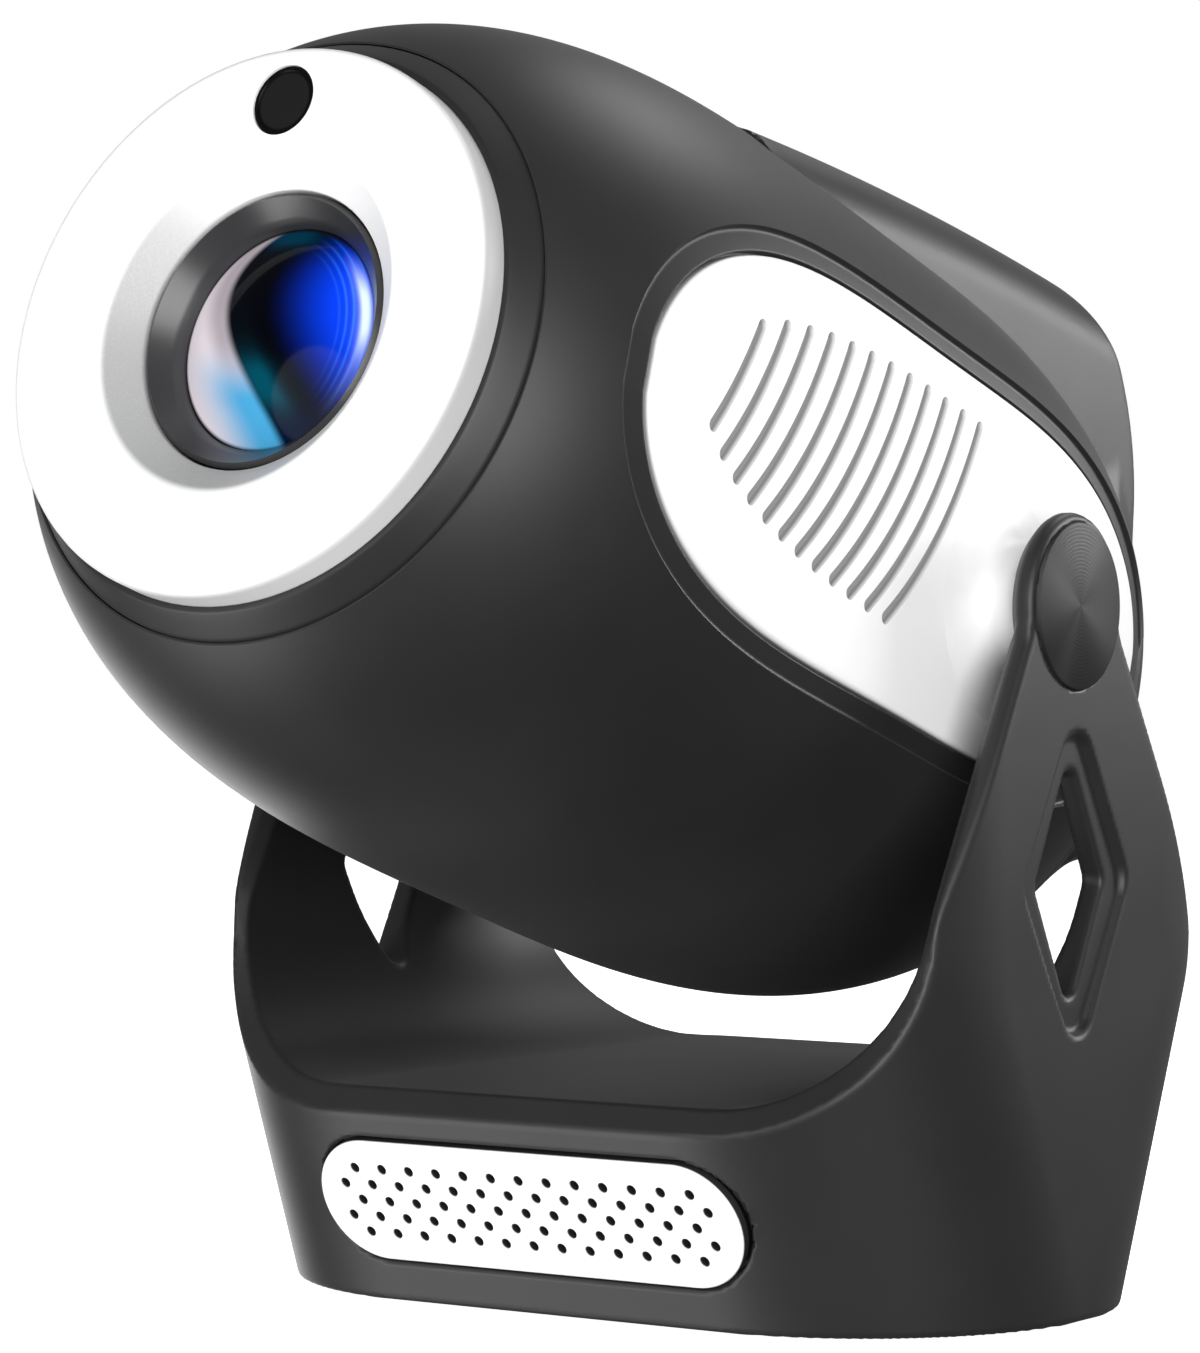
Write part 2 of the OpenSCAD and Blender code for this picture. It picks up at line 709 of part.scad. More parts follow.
module trim_ring() color(black) in_head() rotate_extrude()
  polygon([[bezel_r + slip, seat_z], [trim_r, seat_z],
  [trim_r, nose_z + 0.2], [bezel_r + slip + 0.8, nose_z + 5], [bezel_r + slip, nose_z + 5]]);

module front_bezel() color(white) in_head() difference() {
  rotate_extrude() polygon([[bezel_r, seat_z], [bezel_r, face_z - 2], [bezel_r - 2, face_z],
    [recess_r, face_z],
    [hub_bore, hub_z], [hub_bore, seat_z + 1], [hub_bore + hub_wall, seat_z + 1],
      [hub_bore + hub_wall, hub_z - 0.4],
    [recess_r + 1, face_z - bezel_skin], [bezel_r - bezel_skin, face_z - bezel_skin],
      [bezel_r - bezel_skin, seat_z]]);
  translate([0, sensor_y, face_z - 9]) cylinder(r = sensor_r + 0.05, h = 20);
}

module sensor_window() color("#111114") in_head() translate([0, sensor_y, face_z - bezel_skin])
  cylinder(r = sensor_r, h = bezel_skin - 0.3);

module sensor_module() color(green) in_head() translate([0, sensor_y, face_z - bezel_skin]) {
  block(sensor_r, -sensor_r, sensor_r, -1.6, 0);
  block(4.5, -4.5, 4.5, -6, -1.6);
}

module side_panel() {
  difference() {
    union() {
      intersection() {
        on_cheek(facet_x - panel_seat, facet_x + 5) panel_outline(panel_trace);
        cheeks(-panel_proud);
      }
      at_pivot() translate([panel_x - 1, 0, 0]) rotate([0, 90, 0])
        cylinder(r1 = collar_root, r2 = collar_r, h = washer_x - panel_x + 1);
    }
    slot_cut(facet_x - 8, facet_x + 8);
    at_pivot() rod_x(shaft_r + slip, facet_x - 8, gap_pivot_w + 2);
  }
}
module side_panel_right() color(white) in_head() side_panel();
module side_panel_left() color(white) in_head() mirror([1, 0, 0]) side_panel();

// Lens mount: fixed tube, moving cell and its glass
module lens_tube() color(black) in_head() difference() {
  union() {
    ring(tube_r, cell_r + tube_fit, tube_z, seat_z + 1);
    ring(neck_r + 2, cell_r + tube_fit, tube_z, tube_z + 3);
  }
  block(lug_half_w + 0.6, 0, far, lug_z - lug_deep / 2 - focus_travel - 1,
    lug_z + lug_deep / 2 + focus_travel + 1);
}

lug_half_w = 4;
glass_t = 6;
ledge_t = 2.5;
module lens_cell() color(black) in_head() difference() {
  union() {
    rotate_extrude() polygon([[glass_r + 0.1, cell_back], [cell_r, cell_back], [cell_r, hub_z - 0.8],
      [cell_r - 0.8, hub_z],
      [glass_r + 0.1, hub_z - 4.7], [glass_r + 0.1, hub_z - 4.7 - glass_t],
        [glass_r - 1.8, hub_z - 4.7 - glass_t],
      [glass_r - 1.8, hub_z - 4.7 - glass_t - ledge_t], [glass_r + 1, hub_z - 9.7 - glass_t - ledge_t],
      [glass_r + 1, cell_back + glass_t + ledge_t + 4], [glass_r - 1.8, cell_back + glass_t + ledge_t],
      [glass_r - 1.8, cell_back + glass_t], [glass_r + 0.1, cell_back + glass_t]]);
    block(lug_half_w, cell_r - 1.5, screw_y + 5, lug_z - lug_deep / 2, lug_z + lug_deep / 2);
  }
  translate([0, screw_y, lug_z - lug_deep]) cylinder(r = screw_r + 0.08, h = 2 * lug_deep);
}

// Biconvex glass: rim radius, rim thickness and the height of each dome
dome_steps = 16;
function dome(r, h, i) = let(big = (r * r + h * h) / (2 * h), x = r * i / dome_steps)
  sqrt(big * big - x * x) - big + h;
module glass_disc(r, t, back, front) {
  inner = r - 2;
  rotate_extrude() polygon(concat([for (i = [0:dome_steps])
    [r * i / dome_steps, t + dome(r, front, i)]], [[r, 0]],
    [for (i = [dome_steps:-1:0]) [inner * i / dome_steps, -dome(inner, back, i)]]));
}
module front_lens() color(glass) in_head() translate([0, 0, hub_z - 4.7 - glass_t])
  glass_disc(glass_r, glass_t - 1, 0.8, 4.5);
module rear_lens() color(glass) in_head() translate([0, 0, cell_back + glass_t]) mirror([0, 0, 1])
  glass_disc(glass_r, glass_t - 1, 0.8, 1.5);

module focus_motor() color(steel) in_head() translate([0, screw_y, bracket_front + bracket_t])
  cylinder(r = motor_r, h = motor_len);

module motor_bracket() color(steel) in_head() difference() {
  union() {
    block(6, tube_r, tube_r + bracket_t, bracket_back, bracket_front + bracket_t);
    for (z = [bracket_back, bracket_front]) block(6, tube_r, screw_y + 5, z, z + bracket_t);
  }
  translate([0, screw_y, bracket_back - 1])
    cylinder(r = screw_r + 0.08, h = bracket_front - bracket_back + 10);
  block(lug_half_w + 0.6, 0, screw_y + 4, bracket_back + bracket_t + 1, bracket_front - 1);
}

module lead_screw() color(steel) in_head() translate([0, screw_y, bracket_back])
  cylinder(r = screw_r, h = bracket_front + bracket_t - bracket_back - part_gap);

// Optics housing: box for the panel stack, neck for the lens, and two frames that seat in the shell
module frame_disc(z0, z1) {
  intersection() {
    translate([0, 0, z0]) cylinder(r = min(egg_r(z0), egg_r(z1)) - shell_wall - part_gap, h = z1 - z0);
    block(facet_at(z0) - shell_wall - 7, -far, far, z0, z1);
  }
}

module optics_housing() color("#4a4c50") in_head() difference() {
  union() {
    block(optic_half_w + wall_t, -optic_half_h - wall_t, optic_half_h + wall_t, -deck_t,
      optic_len + wall_t);
    frame_disc(-deck_t, 0);
    frame_disc(optic_len, optic_len + wall_t);
    translate([0, 0, optic_len]) cylinder(r = neck_r, h = wall_t + neck_len);
    for (s = cover_screw_at) translate([s[0], s[1], -port_z + shell_wall + 0.1])
      cylinder(r = post_r, h = port_z - shell_wall - deck_t + 1);
  }
  for (s = cover_screw_at) translate([s[0], s[1], -port_z]) cylinder(r = 1.35, h = 16);
  block(optic_half_w, -optic_half_h, optic_half_h, 0, optic_len);
  translate([0, 0, optic_len - 1]) cylinder(r = neck_r - wall_t, h = neck_len + 1);
  translate([0, 0, optic_len]) cylinder(r = cell_r, h = far);
  translate([0, 0, -deck_t - 1]) cylinder(r = 13, h = deck_t + 2);
  translate([0, 0, -1.5]) cylinder(r = 18 + slip, h = 3);
  for (sy = [-1, 1], sx = [-1, 1]) translate([sx * 22, sy * (optic_half_h + 18), -far / 2])
    cylinder(r = 8, h = far);
}

module condenser_lens() color(glass) in_head() translate([0, 0, -1.5]) union() {
  cylinder(r = 18, h = 3);
  translate([0, 0, 3]) glass_disc(16, 0.01, 0.01, 11);
}

// Stack of plates across the box, by their places along the light's path
heat_glass_z = 24;
rear_fresnel_z = 30;
lcd_z = 38;
front_fresnel_z = 46;
module optic_plate(z, t) {
  block(optic_half_w - slip, -optic_half_h + slip, optic_half_h - slip, z, z + t);
}
module heat_glass() color(glass) in_head() optic_plate(heat_glass_z, 1.1);
module rear_fresnel() color(glass) in_head() optic_plate(rear_fresnel_z, 2);
module lcd_panel() color("#20242c") in_head() optic_plate(lcd_z, 2.5);
module front_fresnel() color(glass) in_head() optic_plate(front_fresnel_z, 2);

// Half width of the lamp's square board
led_half = 20;
module led_board() color(white) in_head() block(led_half, -led_half, led_half, -deck_t - led_t, -deck_t);
module led_emitter() color("#e8d060") in_head() block(8, -8, 8, -deck_t, -deck_t + 1.2);

module heat_sink() color(steel) in_head() {
  half = fan_side / 2;
  block(half, fan_y - half, fan_y + half, -deck_t - led_t - sink_t, -deck_t - led_t);
  for (k = [0:fin_count - 1]) translate([(k / (fin_count - 1) - 0.5) * (2 * half - 1.6), 0, 0])
    block(0.8, fan_y - half, fan_y + half, fan_z, -deck_t - led_t - sink_t + 0.5);
}

// Fan: square frame with a spider at the back, and a bladed rotor on a short pin
rotor_r = fan_side / 2 - 2.6;
hub_r = 9;
pin_r = 1.5;
module fan_frame() color(black) in_head() translate([0, fan_y, fan_back]) difference() {
  union() {
    difference() {
      block(fan_side / 2, -fan_side / 2, fan_side / 2, 0, fan_deep);
      translate([0, 0, -1]) cylinder(r = rotor_r + 0.8, h = fan_deep + 2);
    }
    cylinder(r = hub_r, h = 2.5);
    for (a = [0, 120, 240]) rotate([0, 0, a]) translate([hub_r - 1, -1.5, 0])
      cube([rotor_r + 2.2 - hub_r, 3, 2.5]);
  }
  translate([0, 0, -1]) cylinder(r = pin_r + 0.05, h = 10);
  for (sx = [-1, 1], sy = [-1, 1]) translate([sx, sy, 0] * (fan_side / 2 - 4)) translate([0, 0, -20])
    cylinder(r = 1.8, h = 60);
}

module fan_rotor() color("#1d1d1f") in_head() translate([0, fan_y, fan_back]) {
  translate([0, 0, 3]) cylinder(r = hub_r, h = fan_deep - 4);
  cylinder(r = pin_r, h = 4);
  intersection() {
    translate([0, 0, 3]) cylinder(r = rotor_r, h = fan_deep - 4);
    for (k = [0:blade_count - 1]) rotate([0, 0, k * 360 / blade_count])
      translate([hub_r - 1, 0, 3 + (fan_deep - 4) / 2])
      rotate([38, 0, 0]) translate([0, -0.6, -9]) cube([rotor_r, 1.2, 18]);
  }
}

module main_board() color(green) in_head()
  block(board_half_w, board_y, board_y + board_t, board_back, -deck_t);

// The button rests this far behind its switch
switch_gap = button_travel + part_gap;
switch_z = -port_z + 6 + switch_gap;
module tact_switch() color(black) in_head() translate([-button_x, board_y + board_t, switch_z])
  block(3.5, 0, 7, 0, 6);

module power_button() color(white) in_head() on_rear_face() translate([button_x, button_y, 0]) {
  translate([0, 0, -6]) cylinder(r = button_r, h = 7.2);
  translate([0, 0, -6]) cylinder(r = button_r + 1, h = 6 - shell_wall - part_gap);
}

// Tilt hinge: a flanged shaft on the head runs in each arm and is held by a nut under the cap
module hinge_shaft() {
  at_pivot() {
    rod_x(flange_r, boss_x - flange_t, boss_x);
    rod_x(shaft_r, boss_x - 0.1, pocket_x - part_gap);
    rod_x(shaft_r - 1, pocket_x - 1, pocket_x + nut_t);
  }
}
module hinge_shaft_right() color(steel) in_head() hinge_shaft();
module hinge_shaft_left() color(steel) in_head() mirror([1, 0, 0]) hinge_shaft();

module friction_washer() {
  at_pivot() difference() {
    rod_x(washer_r, washer_x, washer_x + washer_t);
    rod_x(shaft_r + slip, panel_x - 1, gap_pivot_w + 1);
  }
}
module friction_washer_right() color(black) in_head() friction_washer();
module friction_washer_left() color(black) in_head() mirror([1, 0, 0]) friction_washer();

module hinge_nuts() color(steel) in_head() for (sx = [0, 1]) mirror([sx, 0, 0]) at_pivot() difference() {
  rod_x(nut_r, pocket_x + part_gap, pocket_x + part_gap + nut_t - 0.2);
  rod_x(shaft_r - 1 + 0.05, pocket_x - 1, pocket_x + nut_t + 1);
}

// Screws that hold the rear cover, set into the frame of the optics housing
post_r = 3.2;
cover_screw_len = 12;
cover_screw_at = [[-43.5, -12], [43.5, -12]];
module at_screw(s) {
  on_rear_face() translate([s[0], s[1], 0]) children();
}
module cover_screws() color(steel) in_head() for (s = cover_screw_at) at_screw(s) {
  translate([0, 0, -1.6]) cylinder(r = 2.6, h = 1.5);
  translate([0, 0, -cover_screw_len - 1]) cylinder(r = 1.3, h = cover_screw_len);
}

yoke_frame();
base_plate();
rubber_feet();
base_screws();
tripod_insert();
speaker_grille();
grille_cloth();
speaker_frames();
speaker_cones();
speaker_magnets();
arm_cap_left();
arm_cap_right();
head_shell();
rear_cover();
trim_ring();
front_bezel();
sensor_window();
sensor_module();
side_panel_left();
side_panel_right();
lens_tube();
optics_housing();
condenser_lens();
heat_glass();
rear_fresnel();
lcd_panel();
front_fresnel();
led_board();
led_emitter();
heat_sink();
fan_frame();
main_board();
hdmi_socket();
usb_socket();
audio_jack();
dc_jack();
tact_switch();
focus_motor();
motor_bracket();
hinge_shaft_left();
hinge_shaft_right();
friction_washer_left();
friction_washer_right();
hinge_nuts();
cover_screws();
fan_rotor();
lens_cell();
front_lens();
rear_lens();
lead_screw();
power_button();
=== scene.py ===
"""Looks of a tilting video projector, built as an add-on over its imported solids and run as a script."""

import json
import math

import bmesh
import bpy
import numpy as np
from bpy.props import FloatProperty, FloatVectorProperty, IntProperty, PointerProperty
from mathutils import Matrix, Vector


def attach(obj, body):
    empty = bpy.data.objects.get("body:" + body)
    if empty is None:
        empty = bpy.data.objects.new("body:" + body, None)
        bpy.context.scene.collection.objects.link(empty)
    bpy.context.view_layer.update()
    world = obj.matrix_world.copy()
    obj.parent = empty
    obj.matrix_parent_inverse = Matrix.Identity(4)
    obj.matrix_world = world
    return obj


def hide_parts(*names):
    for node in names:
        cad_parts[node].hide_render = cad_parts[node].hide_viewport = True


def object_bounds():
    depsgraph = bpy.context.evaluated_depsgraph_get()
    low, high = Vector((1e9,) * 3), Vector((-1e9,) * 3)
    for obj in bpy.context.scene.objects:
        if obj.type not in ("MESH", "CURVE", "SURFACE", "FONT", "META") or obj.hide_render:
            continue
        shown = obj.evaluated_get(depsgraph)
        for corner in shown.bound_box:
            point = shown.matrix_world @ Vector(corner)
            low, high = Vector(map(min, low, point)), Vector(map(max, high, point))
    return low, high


bl_info = {
    "name": "Tilting Projector Looks",
    "version": (1, 0, 0),
    "blender": (4, 5, 0),
    "location": "3D View > Sidebar > Projector",
    "description": "Moulded shells, coated lens, grille and finishes of a tilting video projector",
    "category": "Add Mesh",
}

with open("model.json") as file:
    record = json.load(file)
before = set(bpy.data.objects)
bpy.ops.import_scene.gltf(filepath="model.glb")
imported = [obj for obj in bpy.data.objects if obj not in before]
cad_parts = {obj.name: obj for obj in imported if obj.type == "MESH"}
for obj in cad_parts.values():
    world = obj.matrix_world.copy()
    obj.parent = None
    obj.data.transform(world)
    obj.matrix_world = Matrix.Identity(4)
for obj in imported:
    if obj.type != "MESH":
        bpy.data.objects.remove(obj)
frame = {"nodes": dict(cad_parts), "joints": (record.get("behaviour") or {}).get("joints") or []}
CAD_BOX = [list(corner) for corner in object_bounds()]
JOINTS = {joint["name"]: joint for joint in frame["joints"]}
PIVOT = np.array(JOINTS["head_tilt"]["pos_m"])
FORWARD = np.array(JOINTS["focus_slide"]["axis"])
RIGHT, BACK, SKY = np.eye(3)
UP = np.cross(RIGHT, -FORWARD)
MM = 0.001
TURN = 2 * math.pi
SIDES = ((1, "right"), (-1, "left"))
GRAIN_SCALE, GRAIN_DEPTH = 2600.0, 0.05 * MM
WHITE_GLOSS = {"Specular IOR Level": 0.35}
NEAR_BLACK = (0.02, 0.02, 0.02)


def length(name, default, description):
    """A size in metres that a user may change."""
    return FloatProperty(name=name, description=description, default=default, min=0.0, unit="LENGTH",
                         precision=4)


def slope(name, degrees, description):
    """An angle, given in degrees, that a user may change."""
    return FloatProperty(name=name, description=description, default=math.radians(degrees), subtype="ANGLE")


def colour(name, default, description):
    """A linear colour that a user may change."""
    return FloatVectorProperty(name=name, description=description, default=default, size=3, subtype="COLOR",
                               min=0.0, max=1.0)


def power(name, default, description):
    """A light's power in watts that a user may change."""
    return FloatProperty(name=name, description=description, default=default, min=0.0, unit="POWER")


class HeadSizes(bpy.types.PropertyGroup):
    """Sizes of the egg-shaped head, measured from the tilt axis along the lens axis."""

    rise: length("Axis rise", 0.004, "Height of the lens axis above the tilt axis")
    girth_radius: length("Girth radius", 0.07695, "Largest radius of the egg")
    girth_place: length("Girth place", 0.025, "How far ahead of the tilt axis the egg is widest")
    nose_length: length("Nose length", 0.140, "Length from the girth to where the nose would close")
    nose_bluntness: FloatProperty(name="Nose bluntness", description="Power of the nose's curve", default=3.9)
    tail_length: length("Tail length", 0.1285, "Length from the girth to where the tail would close")
    tail_bluntness: FloatProperty(name="Tail bluntness", description="Power of the tail's curve", default=3.3)
    seam_place: length("Seam place", 0.062, "How far behind the tilt axis the shell ends")
    wall: length("Wall", 0.003, "Wall of the moulded shell")
    cheek: length("Cheek half width", 0.0663, "Half width across the flattened cheeks")
    cheek_bow: length("Cheek bow", 2.5, "Radius of the slight bow along a cheek")
    channel: length("Channel depth", 0.0009, "Depth of the channel that runs round a side panel")


class RearSizes(bpy.types.PropertyGroup):
    """Sizes of the rear cover: its squared hood, rounded rear and sunk socket panel."""

    hood_half_width: length("Hood half width", 0.049, "Half width of the squared hood")
    hood_round: length("Hood rounding", 0.014, "Corner radius along the hood's top edges")
    hood_ridge: length("Hood ridge", 0.07855, "Height of the hood's ridge above the lens axis")
    hood_front: slope("Hood front slope", 9.6, "Slope of the hood's top ahead of the ridge")
    hood_rear: slope("Hood rear slope", 3.2, "Slope of the hood's top behind the ridge")
    hood_end: length("Hood end", 0.070, "How far ahead of the tilt axis the hood may reach")
    hood_low: length("Hood foot", 0.031, "Depth of the hood's foot below the lens axis")
    blend: length("Blend", 0.010, "Width over which the hood's side runs into the tail")
    lip: length("Lip", 0.003, "How far the cover reaches ahead under the shell")
    lip_sink: length("Lip sink", 0.0007, "How far the lip lies below the shell's surface")
    rear_radius: length("Rear radius", 0.055, "Radius of the rounded rear")
    sweep: length("Tail sweep", 0.089, "Radius that the tail keeps inside of as it swings")
    panel_place: length("Socket panel", 0.084, "How far behind the tilt axis the sunk socket panel lies")
    panel_half_width: length("Socket panel half width", 0.047, "Half width of the socket panel")
    cell: length("Mesh cell", 0.0011, "Size of a face of the cover's mesh")


class FrontSizes(bpy.types.PropertyGroup):
    """Sizes of the white disc, the dark ring round it, and the lens."""

    disc_radius: length("Disc radius", 0.050, "Radius of the white front disc")
    disc_height: length("Disc height", 0.01115, "Height of the disc above the end of the shell")
    disc_round: length("Disc rounding", 0.0021, "Rounding of the disc's outer edge")
    trim_radius: length("Trim radius", 0.0548, "Radius of the dark ring")
    recess_radius: length("Recess radius", 0.0316, "Outer radius of the conical recess")
    bore_radius: length("Bore radius", 0.02565, "Radius of the hole that the lens cell moves in")
    recess_depth: length("Recess depth", 0.0061, "Depth of the conical recess")
    glass_radius: length("Glass radius", 0.0205, "Radius of the front lens")
    glass_dome: length("Glass dome", 0.0045, "Height of the front lens's dome")
    glass_sink: length("Glass sink", 0.0057, "Depth of the lens's rim below the recess's inner edge")
    sensor_radius: length("Sensor radius", 0.0064, "Radius of the dark sensor window")
    sensor_height: length("Sensor height", 0.0399, "Height of the sensor window above the lens axis")


class PanelSizes(bpy.types.PropertyGroup):
    """Sizes of the white side panels and their vent slots."""

    trace: length("Trace", 0.0027, "How much further out the panel's edge is traced than the cheek's edge")
    proud: length("Proud", 0.0012, "Height that a panel stands above the cheek")
    seat: length("Seat", 0.0016, "Depth of a panel below the cheek")
    edge: length("Edge rounding", 0.0010, "Rounding of a panel's edge")
    slot_count: IntProperty(name="Slots", description="Vent slots in each panel", default=12, min=1)
    slot_width: length("Slot width", 0.0025, "Width of a vent slot")
    slot_pitch: length("Slot pitch", 0.0067, "Step from slot to slot")
    slot_arc: length("Slot arc", 0.093, "Radius of a slot's arc")
    slot_depth: length("Slot depth", 0.0016, "Depth of a vent slot")
    collar_radius: length("Collar radius", 0.0115, "Radius of the white collar at the hinge")
    collar_flare: length("Collar flare", 0.0115, "How much wider the collar is where it leaves the panel")


class StandSizes(bpy.types.PropertyGroup):
    """Sizes of the flared stand and its arms."""

    foot_half_width: length("Foot half width", 0.086, "Half width at the bottom edge")
    foot_half_depth: length("Foot half depth", 0.0508, "Half depth at the bottom edge")
    arm_half_width: length("Arm half width", 0.084, "Half width at the shoulder and the arms")
    shoulder_front: length("Shoulder front", 0.0774, "Depth of the shoulder ahead of the tilt axis")
    shoulder_rear: length("Shoulder rear", 0.084, "Depth of the shoulder behind the tilt axis")
    shoulder_height: length("Shoulder height", 0.065, "Height where the flare ends")
    shoulder_round: length("Shoulder rounding", 0.0035, "Height over which the flare turns into the arms")
    corner: length("Corner", 0.050, "Radius of the upright corners")
    arm_root: length("Arm root", 0.0535, "Depth of an arm at the shoulder ahead of the tilt axis")
    arm_root_rear: length("Arm root behind", 0.0575, "Depth of an arm at the shoulder behind the tilt axis")
    arm_top: length("Arm top", 0.0175, "Radius of an arm's round top")
    floor_height: length("Floor height", 0.0425, "Height of the floor between the arms")
    floor_round: length("Floor rounding", 0.034, "Radius of the floor's corners")
    gap: length("Gap", 0.0775, "Half width between the arms above the floor's corners")
    gap_top: length("Gap at the hinge", 0.0782, "Half width between the arms at the tilt axis")
    bevel: length("Bevel", 0.0048, "Bevel along the edges of the floor")
    arm_bevel: length("Arm bevel", 0.0026, "Bevel along the edges of the arms")
    edge: length("Edge rounding", 0.0012, "Rounding of the other edges")
    window_height: length("Window height", 0.0815, "Height of the middle of a diamond window")
    window_sink: length("Window sink", 0.0016, "Depth of the sunk border round a window")
    cap_radius: length("Cap radius", 0.0157, "Radius of a hinge cap")
    cap_proud: length("Cap proud", 0.0007, "Height of a cap above its arm")
    cap_thick: length("Cap thickness", 0.002, "Thickness of a cap")
    grille_half_length: length("Grille half length", 0.0477, "Half length of the speaker plate")
    grille_radius: length("Grille radius", 0.01275, "Radius of the speaker plate's round ends")
    grille_up: length("Grille place", 0.022, "Distance of the plate's middle up the front face")
    grille_proud: length("Grille proud", 0.0004, "Height of the plate above the front face")
    grille_thick: length("Grille thickness", 0.002, "Thickness of the speaker plate")
    hole_radius: length("Hole radius", 0.0011, "Radius of a hole in the speaker plate")
    hole_pitch: length("Hole pitch", 0.00634, "Step between holes in a row")
    row_pitch: length("Row pitch", 0.00343, "Step between rows of holes")
    hole_count: IntProperty(name="Holes", description="Holes in the longer rows", default=14, min=2)
    cell: length("Mesh cell", 0.00105, "Size of a face of the stand's mesh")


class Finishes(bpy.types.PropertyGroup):
    """Colours of the finishes."""

    soft_black: colour("Soft black", (0.015, 0.015, 0.0155), "Dark soft plastic of the head and the stand")
    black: colour("Black", (0.012, 0.012, 0.013), "Black plastic of the lens cell and the inner pieces")
    white: colour("White", (0.90, 0.90, 0.90), "White satin plastic")
    spun: colour("Spun metal", (0.015, 0.015, 0.0155), "Dark spun metal of the hinge caps")
    lens_blue: colour("Lens blue", (0.002, 0.045, 0.80), "Main colour of the lens coating")
    board: colour("Board", (0.02, 0.12, 0.05), "Solder mask of the boards")
    floor: colour("Floor", (0.93, 0.93, 0.93), "Pale floor")


class Studio(bpy.types.PropertyGroup):
    """Light and camera."""

    front_power: power("Front light", 9.0, "Power of the large light at the front")
    low_power: power("Low light", 13.0, "Power of the light thrown up from the floor")
    side_power: power("Side light", 34.0, "Power of the light at the right")
    rim_power: power("Rim light", 2.3, "Power of the light at the back right")
    top_power: power("Top light", 5.0, "Power of the light high at the back")
    left_power: power("Left light", 5.0, "Power of the light low at the left")
    surround: FloatProperty(name="Surround", description="Brightness of the room", default=0.18, min=0.0)
    focal_length: FloatProperty(name="Focal length", description="Focal length of the camera", default=122.85,
                                min=1.0, unit="CAMERA")


GROUPS = {"head": HeadSizes, "rear": RearSizes, "front": FrontSizes, "panel": PanelSizes, "stand": StandSizes,
          "finishes": Finishes, "studio": Studio}


class ProjectorSettings(bpy.types.PropertyGroup):
    """All groups of settings of the projector."""

    head: PointerProperty(type=HeadSizes)
    rear: PointerProperty(type=RearSizes)
    front: PointerProperty(type=FrontSizes)
    panel: PointerProperty(type=PanelSizes)
    stand: PointerProperty(type=StandSizes)
    finishes: PointerProperty(type=Finishes)
    studio: PointerProperty(type=Studio)


def settings():
    """The scene's settings of the projector."""
    return bpy.context.scene.projector


# Shader maths


class Value:
    """A node's output that takes part in Python arithmetic: each operator adds one Math node."""

    def __init__(self, finish, socket):
        self.finish = finish
        self.socket = socket

    def math(self, operation, *others):
        return self.finish.node("ShaderNodeMath", {"operation": operation}, dict(enumerate((self, *others))))

    def __add__(self, other):
        return self.math("ADD", other)

    def __mul__(self, other):
        return self.math("MULTIPLY", other)

    def __sub__(self, other):
        return self.math("SUBTRACT", other)

    def __truediv__(self, other):
        return self.math("DIVIDE", other)

    def __pow__(self, other):
        return self.math("POWER", other)

    def __neg__(self):
        return self.math("MULTIPLY", -1.0)

    def __rsub__(self, other):
        return self * -1.0 + other

    def __rtruediv__(self, other):
        return self ** -1.0 * other

    __radd__ = __add__
    __rmul__ = __mul__

    def ease(self, low, high):
        """0 below low, 1 above high, and a smooth step between them."""
        return self.finish.node("ShaderNodeMapRange", {"interpolation_type": "SMOOTHSTEP"},
                                {"Value": self, "From Min": low, "From Max": high})

    def bell(self, middle, width):
        """1 at the middle, falling off on both sides as a bell."""
        away = (self - middle) / width
        return 1.0 / (1.0 + (away * away) ** 2.0)


class Finish:
    """A material under construction: a Principled shader and the nodes that feed it."""

    def __init__(self, name, constants):
        self.material = bpy.data.materials.new(name)
        self.material.use_nodes = True
        self.tree = self.material.node_tree
        self.shader = self.tree.nodes["Principled BSDF"]
        self.place = self.node("ShaderNodeTexCoord", output="Object")
        for socket, value in constants.items():
            self.shader.inputs[socket].default_value = value

    def node(self, kind, options=None, inputs=None, output=0):
        """One node: its settings first, then the values or links of its sockets; gives one output."""
        made = self.tree.nodes.new(kind)
        for key, value in (options or {}).items():
            setattr(made, key, value)
        for key, value in (inputs or {}).items():
            if isinstance(value, Value):
                self.tree.links.new(value.socket, made.inputs[key])
            else:
                made.inputs[key].default_value = value
        return Value(self, made.outputs[output])

    def feed(self, **sockets):
        """Links values to the shader's sockets, named with _ for a space."""
        for name, value in sockets.items():
            self.tree.links.new(value.socket, self.shader.inputs[name.replace("_", " ")])
        return self

    def noise(self, scale, detail=2.0, where=None):
        """Noise between 0 and 1 over the piece, in features per metre."""
        inputs = {"Vector": where or self.place, "Scale": scale, "Detail": detail}
        return self.node("ShaderNodeTexNoise", None, inputs)

    def blend(self, share, first, second):
        """A colour from first to second by a share; colours are tuples or links."""
        first, second = ((*shade, 1.0) if isinstance(shade, tuple) else shade for shade in (first, second))
        return self.node("ShaderNodeMix", {"data_type": "RGBA"}, {0: share, 7: second, 6: first}, output=2)

    def measure(self, operation, place):
        """One number from the place on the piece and another place or direction."""
        inputs = {0: self.place, 1: tuple(place)}
        return self.node("ShaderNodeVectorMath", {"operation": operation}, inputs, "Value")

    def along(self, direction, origin):
        """Distance along a direction from an origin."""
        return self.measure("DOT_PRODUCT", direction) - float(np.dot(direction, origin))

    def bump(self, height, strength, distance=GRAIN_DEPTH):
        """Feeds a relief of that height to the shader's normal."""
        inputs = {"Height": height, "Strength": strength, "Distance": distance}
        return self.feed(Normal=self.node("ShaderNodeBump", None, inputs))


def scaled(shade, share):
    """A colour made darker or brighter by a share."""
    return tuple(min(1.0, share * part) for part in shade)


